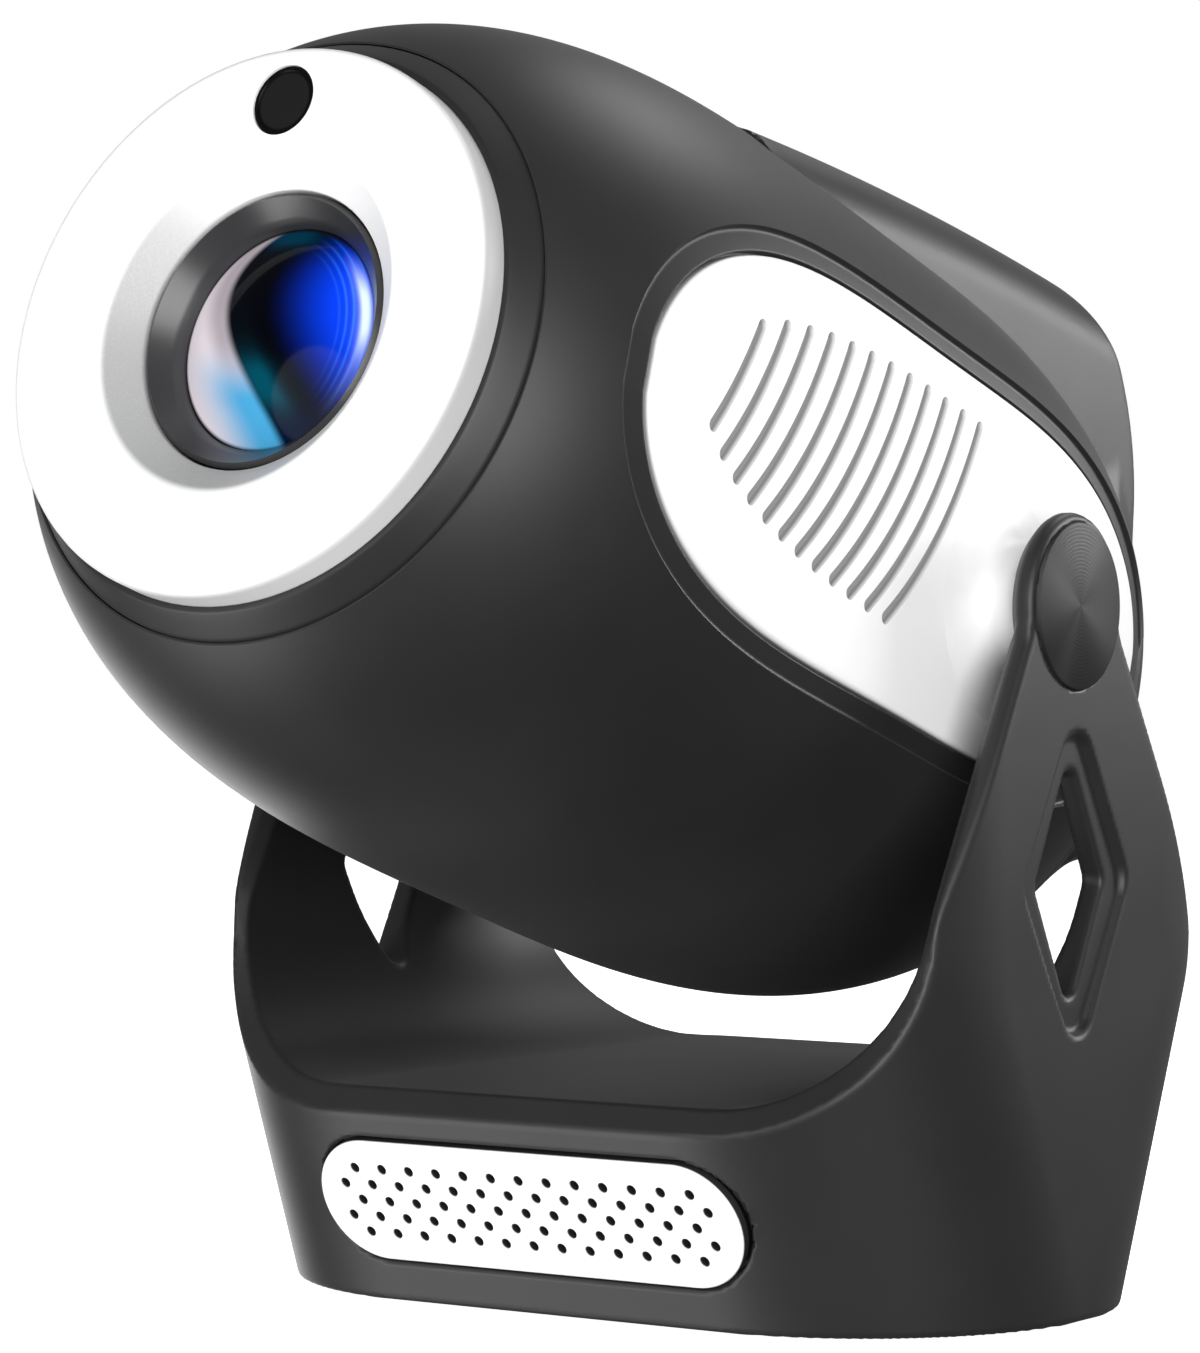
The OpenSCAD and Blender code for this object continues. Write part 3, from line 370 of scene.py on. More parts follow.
def moulded(name, base, roughness, grain, sheen=0.0, gloss=0.4):
    """Moulded plastic: a fine spark-eroded grain, faint clouding of colour and gloss."""
    finish = Finish(name, {"Specular IOR Level": gloss, "Sheen Weight": sheen, "Sheen Roughness": 0.45})
    cloud = finish.noise(38.0, 3.0)
    fine = finish.noise(GRAIN_SCALE)
    finish.feed(Base_Color=finish.blend(cloud.ease(0.3, 0.7), scaled(base, 0.86), base),
                Roughness=cloud * 0.06 + fine * 0.05 + (roughness - 0.055))
    return finish.bump(fine, grain).material


def satin(finish, shade, fine):
    """A white finish given its colour and a fine satin grain."""
    finish.feed(Base_Color=shade, Roughness=fine * 0.06 + 0.36)
    return finish.bump(fine, 0.05).material


def panel_white(base):
    """White satin panel with painted shade: darker towards the floors of its slots and the foot of its edge."""
    head, panel = settings().head, settings().panel
    finish = Finish("PanelWhite", WHITE_GLOSS)
    ahead = finish.along(FORWARD, PIVOT + head.girth_place * FORWARD)
    outer = (head.cheek + panel.proud) - ahead * ahead / (2 * head.cheek_bow)
    depth = outer - finish.along(RIGHT, PIVOT).math("ABSOLUTE")
    # Painted shade: the white turns grey with depth below the panel's face, in the slots and down the edge.
    shade = finish.blend(depth.ease(0.15 * MM, 1.2 * MM), base, scaled(base, 0.33))
    return satin(finish, shade, finish.noise(GRAIN_SCALE))


def disc_white(base):
    """White satin disc with painted shade: greyer where its recess falls away low on the left, and down its
    outer wall, most on its upper half.
    """
    front = settings().front
    finish = Finish("DiscWhite", WHITE_GLOSS)
    middle = head_place(0.0, 0.0, face_place())
    across, tall = finish.along(RIGHT, middle), finish.along(UP, middle)
    radius = (across * across + tall * tall).math("SQRT")
    sunk = (-finish.along(FORWARD, middle)).ease(0.2 * MM, 1.5 * MM)
    outer = radius.ease(front.recess_radius + 3 * MM, front.disc_radius - 1 * MM)
    # Painted shade: how far the recess's wall faces low and left, where it is greyed, with a fine turned grain
    # in the grey.
    low = ((across * -0.85 - tall * 0.5) / radius).ease(-0.45, 0.85)
    fine = finish.noise(2400.0)
    shade = finish.blend(sunk * (1.0 - outer) * low * (fine * 0.3 + 0.85), base, scaled(base, 0.42))
    # Painted shade down the disc's outer wall, greyer towards its top.
    shade = finish.blend(sunk * outer * (tall / radius).ease(-1.6, 0.1), shade, scaled(base, 0.6))
    return satin(finish, shade, fine)


def grille_white(base):
    """White speaker plate with painted shade: near black inside its holes."""
    stand, lean = settings().stand, front_lean()
    finish = Finish("GrilleWhite", WHITE_GLOSS)
    inward = math.cos(lean) * BACK + math.sin(lean) * SKY
    depth = finish.along(inward, plate_place(0.0, 0.0, stand.grille_proud))
    # Painted shade: the holes' walls turn near black below the plate's face.
    shade = finish.blend(depth.ease(0.12 * MM, 0.5 * MM), base, NEAR_BLACK)
    return satin(finish, shade, finish.noise(GRAIN_SCALE))


def brushed(name, base, roughness, metallic=1.0):
    """Drawn or rolled metal: streaks along one direction in colour and gloss."""
    finish = Finish(name, {"Metallic": metallic})
    inputs = {"Vector": finish.place, "Scale": (60.0, 2400.0, 2400.0)}
    streak = finish.noise(1.0, 3.0, finish.node("ShaderNodeMapping", None, inputs, "Vector"))
    return finish.feed(Base_Color=finish.blend(streak, scaled(base, 0.8), base),
                       Roughness=streak * 0.16 + (roughness - 0.08)).material


def woven(name, base, pitch):
    """Woven cloth or wire mesh: two crossed rows of threads in colour and relief."""
    finish = Finish(name, {"Specular IOR Level": 0.25})
    warp = finish.along(RIGHT, PIVOT) * (TURN / pitch)
    weft = finish.along(SKY, PIVOT) * (TURN / pitch)
    thread = (warp.math("SINE") * weft.math("SINE")) * 0.5 + 0.5
    finish.feed(Base_Color=finish.blend(thread, scaled(base, 0.4), base), Roughness=0.95 - thread * 0.2)
    return finish.bump(thread, 0.5, 0.1 * MM).material


def clear(name, tint):
    """Clear plates and lenses inside the head."""
    finish = Finish(name, {"Transmission Weight": 0.85, "IOR": 1.5, "Base Color": (*tint, 1.0)})
    return finish.feed(Roughness=finish.noise(300.0) * 0.06 + 0.02).material


def spun_metal(base):
    """Turned cap: fine rings about the hinge axis, and painted highlights in bright fans, like those that light
    makes on turned metal.
    """
    finish = Finish("SpunMetal", {"Metallic": 0.1, "Specular IOR Level": 0.14})
    up, aft = finish.along(SKY, PIVOT), finish.along(BACK, PIVOT)
    angle = up.math("ARCTAN2", aft)
    radius = (up * up + aft * aft).math("SQRT")
    rings = (radius * (TURN / (0.7 * MM))).math("SINE") * 0.5 + 0.5
    # Painted highlight: fans of brighter colour that turn with the angle about the hinge axis.
    fan = (angle * 2.0 + 0.5).math("COSINE") * 0.5 + 0.5
    narrow = (angle * 4.0 + 2.1).math("COSINE") * 0.5 + 0.5
    painted_highlight = fan ** 3.0 * 0.75 + narrow ** 4.0 * 0.25
    shade = finish.blend(painted_highlight, base, scaled(base, 4.4))
    finish.feed(Base_Color=finish.blend(rings * 0.12, shade, NEAR_BLACK), Roughness=rings * 0.08 + 0.42)
    return finish.bump(rings, 0.12, 0.06 * MM).material


def coated_lens_painted_reflections(blue, centre, size):
    """Front lens, its colours painted reflections over a blue coating: a pale reflection on its left, a dark
    middle, fine bright rings on its right, a teal and a green patch and a glint, darker towards the bottom and
    near black at its rim. The colour also feeds the emission, a painted glow. The border of the pale reflection
    is a cubic curve of the height; beyond is the distance to its right."""
    # The same colour feeds the emission: a painted glow, though the lens is no lamp.
    finish = Finish("CoatedLens", {"Roughness": 0.08, "Specular IOR Level": 0.06, "Emission Strength": 0.25})
    across, tall = finish.along(RIGHT, centre) / size, finish.along(UP, centre) / size
    radius = (across * across + tall * tall).math("SQRT")
    beyond = across - (((tall * 0.349 + 0.474) * tall - 0.561) * tall - 0.43)
    dark = beyond.ease(-0.05, 0.07)
    low = tall.ease(0.0, -0.6)
    # Painted reflection: a pale crescent on the left, bluish low down and greyer towards its border.
    pale = finish.blend(low * beyond.ease(-0.8, -0.15), (0.62, 0.56, 0.60), (0.05, 0.28, 0.50))
    pale = finish.blend(beyond.ease(-0.36, -0.08) * (1.0 - low) * 0.75, pale, (0.22, 0.19, 0.22))
    # Painted reflection: fine bright rings on the right.
    rim = finish.measure("DISTANCE", centre - 0.16 * size * RIGHT) / size
    ring = (rim * 105.0).math("SINE") * 0.5 + 0.5
    deep = beyond.ease(0.40, 1.40) ** 1.5
    coating_and_reflections = finish.blend(deep, (0.0005, 0.0007, 0.002), blue)
    coating_and_reflections = finish.blend(deep * ring ** 3.0 * rim.ease(0.78, 0.98) * 0.4, coating_and_reflections, (0.05, 0.30, 1.0))
    # Painted shade: darker towards the bottom.
    coating_and_reflections = finish.blend(tall.ease(-0.45, -0.95) * 0.75, coating_and_reflections, (0.0, 0.004, 0.03))
    # Painted reflections: a teal patch low in the middle and a green one at the top.
    teal = tall.bell(-0.44, 0.2) * beyond.bell(0.16, 0.14)
    coating_and_reflections = finish.blend(teal * 0.7, coating_and_reflections, (0.0, 0.07, 0.11))
    green = tall.bell(0.92, 0.09) * across.bell(-0.05, 0.25)
    coating_and_reflections = finish.blend(green * 0.5, coating_and_reflections, (0.0, 0.05, 0.10))
    # Painted glint near the right edge.
    painted_glint = radius.bell(0.91, 0.04) * tall.bell(0.2, 0.3) * across.ease(0.5, 0.8)
    coating_and_reflections = finish.blend(painted_glint, coating_and_reflections, (0.72, 0.86, 1.0))
    shade = finish.blend(dark, pale, coating_and_reflections)
    shade = finish.blend(radius.ease(0.955, 0.995), shade, (0.004, 0.004, 0.008))
    return finish.feed(Base_Color=shade, Emission_Color=shade).material


def window_glass(centre, radius):
    """Sensor window: smoked glass with a fainter disc in its middle."""
    finish = Finish("SmokedWindow", {"Specular IOR Level": 0.08})
    inner = (finish.measure("DISTANCE", centre) / radius).ease(0.86, 0.78)
    return finish.feed(Base_Color=finish.blend(inner, (0.002, 0.002, 0.002), (0.011, 0.011, 0.011)),
                       Roughness=0.42 - inner * 0.12).material


def circuit(name, base):
    """Board: solder mask with fine copper lines under it."""
    finish = Finish(name, {"Coat Weight": 0.3})
    inputs = {"Vector": finish.place, "Scale": 140.0, "Mortar Size": 0.06}
    tracks = finish.node("ShaderNodeTexBrick", None, inputs, "Fac")
    return finish.feed(Base_Color=finish.blend(tracks, base, scaled(base, 2.2)),
                       Roughness=tracks * 0.1 + 0.35).material


FINISH = {}


def make_finishes():
    """All finishes by name, made once."""
    tones, front = settings().finishes, settings().front
    white = tuple(tones.white)
    lens_middle = head_place(0.0, 0.0, lens_hub() - front.glass_sink)
    FINISH.update(
        soft_black=moulded("SoftBlack", tuple(tones.soft_black), 0.47, 0.10, sheen=0.04, gloss=0.42),
        black=moulded("BlackPlastic", tuple(tones.black), 0.36, 0.08),
        cell=moulded("CellPlastic", (0.03, 0.03, 0.032), 0.30, 0.04, gloss=0.5),
        white=moulded("WhiteSatin", white, 0.38, 0.05, gloss=0.35),
        panel=panel_white(white),
        disc=disc_white(white),
        grille=grille_white(white),
        rubber=moulded("Rubber", NEAR_BLACK, 0.8, 0.3),
        spun=spun_metal(tuple(tones.spun)),
        steel=brushed("TurnedSteel", (0.55, 0.56, 0.58), 0.3),
        zinc=brushed("ZincScrew", (0.50, 0.51, 0.53), 0.34),
        socket=brushed("FoldedSheet", (0.6, 0.61, 0.63), 0.28),
        aluminium=brushed("Aluminium", (0.72, 0.73, 0.75), 0.36),
        brass=brushed("TurnedBrass", (0.70, 0.50, 0.20), 0.3),
        ferrite=brushed("Ferrite", (0.10, 0.10, 0.11), 0.5, 0.6),
        cloth=woven("GrilleCloth", (0.03, 0.03, 0.03), 0.8 * MM),
        cone=moulded("ConePaper", (0.05, 0.05, 0.055), 0.85, 0.4),
        board=circuit("SolderMask", tuple(tones.board)),
        phosphor=moulded("Phosphor", (0.80, 0.66, 0.12), 0.6, 0.1),
        plate=clear("ClearPlate", (0.85, 0.92, 0.95)),
        window=window_glass(head_place(0.0, front.sensor_height, face_place()), front.sensor_radius),
        lens=coated_lens_painted_reflections(tuple(tones.lens_blue), lens_middle, front.glass_radius),
    )


# Mesh making


def head_place(x, y, z):
    """Row-frame place of a point of the head: x right, y up from the lens axis, z ahead of the tilt axis."""
    x, y, z = np.broadcast_arrays(np.asarray(x, float), np.asarray(y, float), np.asarray(z, float))
    return PIVOT + x[..., None] * RIGHT + (y[..., None] + settings().head.rise) * UP + z[..., None] * FORWARD


def add_piece(name, mesh, body, finish, replaced=()):
    """Links a finished mesh as a piece that rides on a body and stands for CAD nodes."""
    piece = bpy.data.objects.new(name, mesh)
    bpy.context.scene.collection.objects.link(piece)
    mesh.materials.clear()
    mesh.materials.append(FINISH[finish])
    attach(piece, body)
    if replaced:
        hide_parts(*replaced)
    return piece


def mesh_of(name, points, faces, sharp=35.0):
    """A mesh from arrays of points and four-cornered faces, welded at its poles, smooth but for its edges."""
    mesh = bpy.data.meshes.new(name)
    mesh.from_pydata(points.reshape(-1, 3), [], faces.reshape(-1, 4).tolist())
    weld(mesh)
    smooth(mesh, sharp)
    return mesh


def weld(mesh, reach=1e-6):
    """Merges points that lie on each other, drops the faces this closes up and turns all faces outward."""
    work = bmesh.new()
    work.from_mesh(mesh)
    bmesh.ops.remove_doubles(work, verts=work.verts, dist=reach)
    bmesh.ops.dissolve_degenerate(work, edges=work.edges, dist=reach)
    if work.calc_volume(signed=True) < 0:
        bmesh.ops.reverse_faces(work, faces=work.faces)
    work.to_mesh(mesh)
    work.free()


def smooth(mesh, sharp):
    """Smooth shading, with edges over an angle in degrees kept sharp."""
    mesh.shade_smooth()
    mesh.set_sharp_from_angle(angle=math.radians(sharp))


def grid_faces(rows, columns, close_rows=False, close_columns=True):
    """Corner numbers of the faces of a grid of points, closed on itself in either direction."""
    row = np.arange(rows if close_rows else rows - 1)[:, None]
    column = np.arange(columns if close_columns else columns - 1)[None, :]
    row, column = np.broadcast_arrays(row, column)
    near, far = row * columns, (row + 1) % rows * columns
    beside = (column + 1) % columns
    return np.stack([near + column, near + beside, far + beside, far + column], -1)


def rounded_profile(corners, steps=6):
    """A closed outline through corners (u, v, rounding): each rounding becomes a short arc of a parabola."""
    spots = np.array([corner[:2] for corner in corners], float)
    bends = np.array([corner[2] if len(corner) > 2 else 0.0 for corner in corners])
    out = []
    for spot, before, after, bend in zip(spots, np.roll(spots, 1, 0), np.roll(spots, -1, 0), bends):
        if bend == 0.0:
            out.append(spot[None])
            continue
        start = spot + (before - spot) / np.linalg.norm(before - spot) * bend
        end = spot + (after - spot) / np.linalg.norm(after - spot) * bend
        t = np.linspace(0.0, 1.0, steps + 1)[:, None]
        out.append((1 - t) ** 2 * start + 2 * t * (1 - t) * spot + t ** 2 * end)
    return np.concatenate(out)


def turned(name, corners, place, columns=160, closed=True, sharp=35.0):
    """A profile of radius and height turned once about an axis: the radius times the cosine and sine of the
    angle gives across and up, the height gives along, and place maps these to the row frame."""
    profile = rounded_profile(corners) if closed else np.asarray(corners, float)
    angle = np.linspace(0.0, TURN, columns, endpoint=False)
    radius, height = profile[:, :1], profile[:, 1:2]
    points = place(radius * np.cos(angle), radius * np.sin(angle), height + 0 * angle)
    return mesh_of(name, points, grid_faces(len(profile), columns, close_rows=closed), sharp)


def smooth_max(a, b, width):
    """The larger of two fields, with the step from one to the other rounded over a width."""
    share = np.clip(0.5 + 0.5 * (a - b) / width, 0.0, 1.0)
    return b + (a - b) * share + width * share * (1 - share)


def smooth_min(a, b, width):
    """The smaller of two fields, rounded over a width."""
    return -smooth_max(-a, -b, width)


def slope_of(field, points, step):
    """Slope of a field at places, by small steps along each axis."""
    here = field(*points.T)
    return here, np.stack([(field(*(points + step * axis).T) - here) / step for axis in np.eye(3)], -1)


DRAW_ROUNDS, LEAST_SLOPE = 6, 0.2


def level_mesh(name, field, low, high, cell, place=None, sharp=180.0):
    """The closed skin where a field of the place is zero: one point in each cell that the skin passes,
    drawn onto the skin along the field's slope, and one face across each crossed edge of the grid."""
    axes = [np.arange(a, b + cell, cell) for a, b in zip(low, high)]
    inside = field(*np.meshgrid(*axes, indexing="ij", sparse=True)) < 0
    size = np.array(inside.shape) - 1
    corner = [(i, j, k) for i in (0, 1) for j in (0, 1) for k in (0, 1)]
    held = sum(inside[i:i + size[0], j:j + size[1], k:k + size[2]].astype(np.int8) for i, j, k in corner)
    mixed = (held > 0) & (held < 8)
    number = np.full(mixed.shape, -1)
    number[mixed] = np.arange(mixed.sum())
    points = np.array(low) + (np.argwhere(mixed) + 0.5) * cell
    home, leash = points.copy(), 0.9 * cell
    for _ in range(DRAW_ROUNDS):
        here, slope = slope_of(field, points, 0.02 * cell)
        move = here[:, None] * slope / np.maximum((slope ** 2).sum(-1, keepdims=True), LEAST_SLOPE)
        points = home + np.clip(points - move - home, -leash, leash)
    faces = []
    for axis in range(3):
        first, second = np.moveaxis(inside, axis, 0)[:-1], np.moveaxis(inside, axis, 0)[1:]
        local = np.moveaxis(number, axis, 0)
        a, b, c = (np.argwhere((first != second)[:, 1:-1, 1:-1]) + [0, 1, 1]).T
        outward = first[a, b, c] == (axis != 1)
        ring = np.stack([local[a, b - i, c - j] for i, j in ((1, 1), (0, 1), (0, 0), (1, 0))], -1)
        faces.append(np.where(outward[:, None], ring, ring[:, ::-1]))
    mesh = bpy.data.meshes.new(name)
    mesh.from_pydata(place(*points.T) if place else points, [], np.concatenate(faces).tolist())
    weld(mesh)
    smooth(mesh, sharp)
    return mesh


def cad_copy(name, node, sharp=30.0):
    """A welded copy of a CAD node's mesh with smooth shading."""
    mesh = frame["nodes"][node].data.copy()
    mesh.name = name
    weld(mesh, 2e-6)
    smooth(mesh, sharp)
    return mesh


def prisms(name, outlines, place):
    """Closed prisms on plane outlines; place gives the row-frame points of an outline's foot or top."""
    points, faces, start = [], [], 0
    for outline in outlines:
        points += [place(outline, False), place(outline, True)]
        count = len(outline)
        ring = np.arange(count)
        beside = (ring + 1) % count
        walls = np.stack([ring, beside, beside + count, ring + count], -1) + start
        faces += walls.tolist() + [(ring[::-1] + start).tolist(), (ring + count + start).tolist()]
        start += 2 * count
    mesh = bpy.data.meshes.new(name)
    mesh.from_pydata(np.concatenate(points), [], faces)
    weld(mesh)
    return mesh


LEAST_LEFT = 0.25


def cut_out(mesh, cutter):
    """The mesh with a closed cutter's room taken away."""
    made = [bpy.data.objects.new("Work", data) for data in (mesh, cutter)]
    for item in made:
        bpy.context.scene.collection.objects.link(item)
    step = made[0].modifiers.new("Cut", "BOOLEAN")
    step.operation, step.solver, step.object = "DIFFERENCE", "MANIFOLD", made[1]
    graph = bpy.context.evaluated_depsgraph_get()
    result = bpy.data.meshes.new_from_object(made[0].evaluated_get(graph))
    for item in made:
        bpy.data.objects.remove(item)
    if len(result.polygons) < LEAST_LEFT * len(mesh.polygons):
        raise RuntimeError("the cut left too little of " + mesh.name)
    result.name = mesh.name
    weld(result, 3e-6)
    return result


# Shapes of the head

TRIM_ROOM = 0.6 * MM
CHANNEL_WIDEN, CHANNEL_FOOT = 0.8 * MM, 0.4 * MM
CUT_PAST, CUT_ABOVE = 20 * MM, 2.2 * MM
NOSE_EDGE = 0.4 * MM


def egg_radius(z):
    """Radius of the head at a place along the lens axis: the girth's radius times the root of one less a
    power of the share of the nose's or tail's length, measured from the girth."""
    head = settings().head
    far = z - head.girth_place
    ahead = far >= 0
    share = np.where(ahead, far / head.nose_length, -far / head.tail_length)
    bluntness = np.where(ahead, head.nose_bluntness, head.tail_bluntness)
    return head.girth_radius * np.sqrt(np.clip(1 - np.clip(share, 0, 1) ** bluntness, 0, 1))


def nose_at(radius):
    """Place ahead of the girth where the head has that radius."""
    head = settings().head
    share = (1 - (radius / head.girth_radius) ** 2) ** (1 / head.nose_bluntness)
    return head.girth_place + head.nose_length * share


def tail_at(radius):
    """Place behind the girth where the head has that radius."""
    head = settings().head
    share = (1 - (radius / head.girth_radius) ** 2) ** (1 / head.tail_bluntness)
    return head.girth_place - head.tail_length * share


def cheek_at(z):
    """Half width across the cheeks at a place: a slight bow about the girth."""
    head = settings().head
    return head.cheek - (z - head.girth_place) ** 2 / (2 * head.cheek_bow)


def nose_place():
    """Where the shell ends at the nose."""
    return nose_at(settings().front.trim_radius + TRIM_ROOM)


def face_place():
    """Where the front disc's face lies."""
    return nose_place() + settings().front.disc_height


def lens_hub():
    """Where the recess's inner edge lies."""
    return face_place() - settings().front.recess_depth


def cheek_outline(trace, count=150):
    """Closed line round a cheek as places ahead and up: where the egg stands a trace above the cheek."""
    level = lambda z: cheek_at(z) + trace
    tip = nose_at(level(nose_at(settings().head.cheek + trace)))
    end = tail_at(level(tail_at(settings().head.cheek + trace)))
    z = end + (tip - end) * (1 - np.cos(np.linspace(0, math.pi, count))) / 2
    tall = np.sqrt(np.clip(egg_radius(z) ** 2 - level(z) ** 2, 0.0, None))
    return np.concatenate([np.stack([z, tall], -1), np.stack([z, -tall], -1)[-2:0:-1]])


def cheek_cutter(side):
    """Room taken from the egg at one cheek: a profile of trace and height carried round the cheek. It drops
    from the egg into a channel, climbs to the panel's edge and drops into the panel's seat."""
    deep, edge = settings().head.channel, settings().panel.trace
    profile = rounded_profile([
        (-CHANNEL_WIDEN, CUT_PAST), (-CHANNEL_WIDEN, CUT_ABOVE), (CHANNEL_FOOT, -deep, 0.5 * MM),
        (edge - 0.3 * MM, 0.55 * MM, 0.3 * MM), (edge - 0.22 * MM, -1.3 * MM)], 8)
    rows = [cheek_outline(trace) for trace in profile[:, 0]]
    middle = np.array([rows[0][:, 0].mean(), 0.0])
    flat = np.array([middle + 0 * rows[0], *rows, middle + 0 * rows[0]])
    rise = np.concatenate([profile[:1, 1], profile[:, 1], profile[-1:, 1]])[:, None]
    points = head_place(side * (cheek_at(flat[..., 0]) + rise), flat[..., 1], flat[..., 0])
    return mesh_of("CheekCutter", points, grid_faces(len(flat), len(rows[0])))


class HeadShell(bpy.types.Operator):
    """Egg-shaped main shell with two flattened cheeks and a channel round each side panel"""

    bl_idname = "projector.head_shell"
    bl_label = "Head shell"

    def execute(self, context):
        head = settings().head
        share = np.linspace(0.0, 1.0, 110)
        outer = -head.seam_place + (nose_place() + head.seam_place) * (1 - (1 - share) ** 1.25)
        inner = np.linspace(nose_place(), -head.seam_place, 20)
        z = np.concatenate([outer, inner])[:, None]
        thin = np.concatenate([np.zeros(len(outer)), np.full(len(inner), head.wall)])[:, None]
        reach = egg_radius(z) - np.where(z > nose_place() - 1e-6, np.minimum(thin, NOSE_EDGE), thin)
        angle = np.linspace(0.0, TURN, 320, endpoint=False)
        across, tall = reach * np.cos(angle), reach * np.sin(angle)
        inside = smooth_min(np.abs(across), cheek_at(z) - thin, MM) * np.sign(across)
        points = head_place(np.where(thin > 0, inside, across), tall, z + 0 * angle)
        mesh = mesh_of("HeadShell", points, grid_faces(len(z), len(angle), close_rows=True), 50.0)
        for side in (1, -1):
            mesh = cut_out(mesh, cheek_cutter(side))
        smooth(mesh, 38.0)
        add_piece("HeadShell", mesh, "head", "soft_black", ["head_shell"])
        return {"FINISHED"}


# Widths of the rear cover's blends, the middle of its rounded rear, and the plate that holds the sockets
LIP_RAMP, CHEEK_BLEND, RIDGE_BLEND, SEAM_RAMP, REAR_BLEND = 1.5 * MM, 2 * MM, 7 * MM, 8 * MM, 3 * MM
REAR_HUB_UP, REAR_HUB_BACK = 30 * MM, 27.2 * MM
LIP_WALL = 1.8 * MM
BACKING_UP, BACKING_HALF_HEIGHT, BACKING_HALF_THICK = -18.5 * MM, 10.5 * MM, 1.5 * MM


def rear_form(x, y, z, skin):
    """Signed field of the squared hood and the tail, thinned by a skin: behind the seam the hood's side runs
    smoothly into the tail, ahead of it the hood only sits on the egg."""
    rear, head = settings().rear, settings().head
    sunk = skin + rear.lip_sink * np.clip((z + head.seam_place) / LIP_RAMP + 1, 0, 1)
    tail = smooth_max(np.hypot(x, y) - egg_radius(z) + sunk, np.abs(x) - cheek_at(z) + sunk, CHEEK_BLEND)
    tail = np.maximum(tail, z + head.seam_place - rear.lip)
    rise = y - rear.hood_ridge + skin
    top = smooth_max(rise * math.cos(rear.hood_front) + z * math.sin(rear.hood_front),
                     rise * math.cos(rear.hood_rear) + z * math.sin(rear.hood_rear), RIDGE_BLEND)
    bend = rear.hood_round
    hood = box_corner(np.abs(x) - rear.hood_half_width + skin + bend, top + bend) - bend
    hood = np.maximum(hood, np.maximum(z - rear.hood_end, skin - rear.hood_low - y))
    merged = smooth_min(tail, hood, rear.blend * np.clip(-(z + head.seam_place) / SEAM_RAMP, 0.05, 1.0))
    back = np.minimum(np.hypot(y - REAR_HUB_UP, z + REAR_HUB_BACK) - rear.rear_radius + skin,
                      np.hypot(y + head.rise, z) - rear.sweep + skin)
    return smooth_max(merged, np.minimum(back, -REAR_HUB_BACK - z), REAR_BLEND)


def rear_field(x, y, z):
    """The rear cover: its form, less the egg's inside ahead of the lip, hollow, with a socket plate."""
    rear, head = settings().rear, settings().head
    shell = np.maximum(np.hypot(x, y) - egg_radius(z) + LIP_WALL, rear.lip - head.seam_place - z)
    body = np.maximum(rear_form(x, y, z, 0.0), -shell)
    body = np.maximum(body, -rear_form(x, y, z, head.wall))
    flat = np.maximum(np.abs(x) - rear.panel_half_width - MM, np.abs(y - BACKING_UP) - BACKING_HALF_HEIGHT)
    plate = np.maximum(flat, np.abs(z + rear.panel_place - BACKING_HALF_THICK) - BACKING_HALF_THICK)
    return np.minimum(body, np.maximum(plate, rear_form(x, y, z, 0.0)))


def stadium(half_length, radius, count=9):
    """Closed line of a bar with round ends."""
    turn = np.concatenate([np.linspace(-0.25, 0.25, count), np.linspace(0.25, 0.75, count)]) * TURN
    end = np.repeat([1.0, -1.0], count) * (half_length - radius)
    return np.stack([end + radius * np.cos(turn), radius * np.sin(turn)], -1)


def oblong(left, right, low, high):
    """Closed line of a rectangle."""
    return np.array([(left, low), (right, low), (right, high), (left, high)])


# In millimetres: middle, width and height of each socket's opening, and the holes of the button and the screws
SOCKETS = ((-27.0, 15.0, 6.2), (-7.0, 13.2, 7.0), (9.0, 7.0, 6.0), (24.0, 10.0, 9.0))
SOCKET_FOOT, SOCKET_ROOM = -22.4, 0.3
BUTTON_PLACE, BUTTON_HOLE = (38.5, -19.5), 4.7
SCREW_PLACES, SCREW_HOLE = ((-43.5, -12.0), (43.5, -12.0)), 2.9
# In metres: the vents, the sunk panel, how far in each cut goes, and the room that the cover's mesh is sought in
VENT_COUNT, VENT_HALF_LENGTH, VENT_HALF_HEIGHT = 8, 33 * MM, 1.5 * MM
VENT_LOW, VENT_PITCH = 2 * MM, 6 * MM
RECESS_LOW, RECESS_HIGH = -28 * MM, -9 * MM
VENT_END, SOCKET_END, BUTTON_END, SCREW_DEPTH, OUTSIDE = 0.075, 0.079, 0.074, 1.6 * MM, 0.12
REAR_LOW, REAR_HIGH = np.array([-69.0, -80.0, -92.0]) * MM, np.array([69.0, 87.0, 73.0]) * MM


class RearCover(bpy.types.Operator):
    """Rear cover with its hood, vents and sunk socket panel"""

    bl_idname = "projector.rear_cover"
    bl_label = "Rear cover"

    def execute(self, context):
        rear = settings().rear
        mesh = level_mesh("RearCover", rear_field, REAR_LOW, REAR_HIGH, rear.cell, head_place)
        wide = rear.panel_half_width
        recess = [oblong(-wide, wide, RECESS_LOW, RECESS_HIGH)]
        vent = stadium(VENT_HALF_LENGTH, VENT_HALF_HEIGHT)
        vents = [vent + [0.0, VENT_LOW + k * VENT_PITCH] for k in range(VENT_COUNT)]
        foot, room = SOCKET_FOOT, SOCKET_ROOM
        sockets = [oblong(x - w / 2 - room, x + w / 2 + room, foot - room, foot + room + h) * MM
                   for x, w, h in SOCKETS]
        round_hole = lambda spot, radius: np.array(spot) * MM + stadium(radius * MM, radius * MM, 17)
        button = [round_hole(BUTTON_PLACE, BUTTON_HOLE)]
        screws = [round_hole(spot, SCREW_HOLE) for spot in SCREW_PLACES]
        for lines, end in ((recess, rear.panel_place), (vents, VENT_END), (sockets, SOCKET_END),
                           (button, BUTTON_END), (screws, rear.panel_place - SCREW_DEPTH)):
            reach = lambda line, top: head_place(line[:, 0], line[:, 1], -end if top else -OUTSIDE)
            mesh = cut_out(mesh, prisms("RearCutter", lines, reach))
        smooth(mesh, 38.0)
        add_piece("RearCover", mesh, "head", "soft_black", ["rear_cover"])
        return {"FINISHED"}


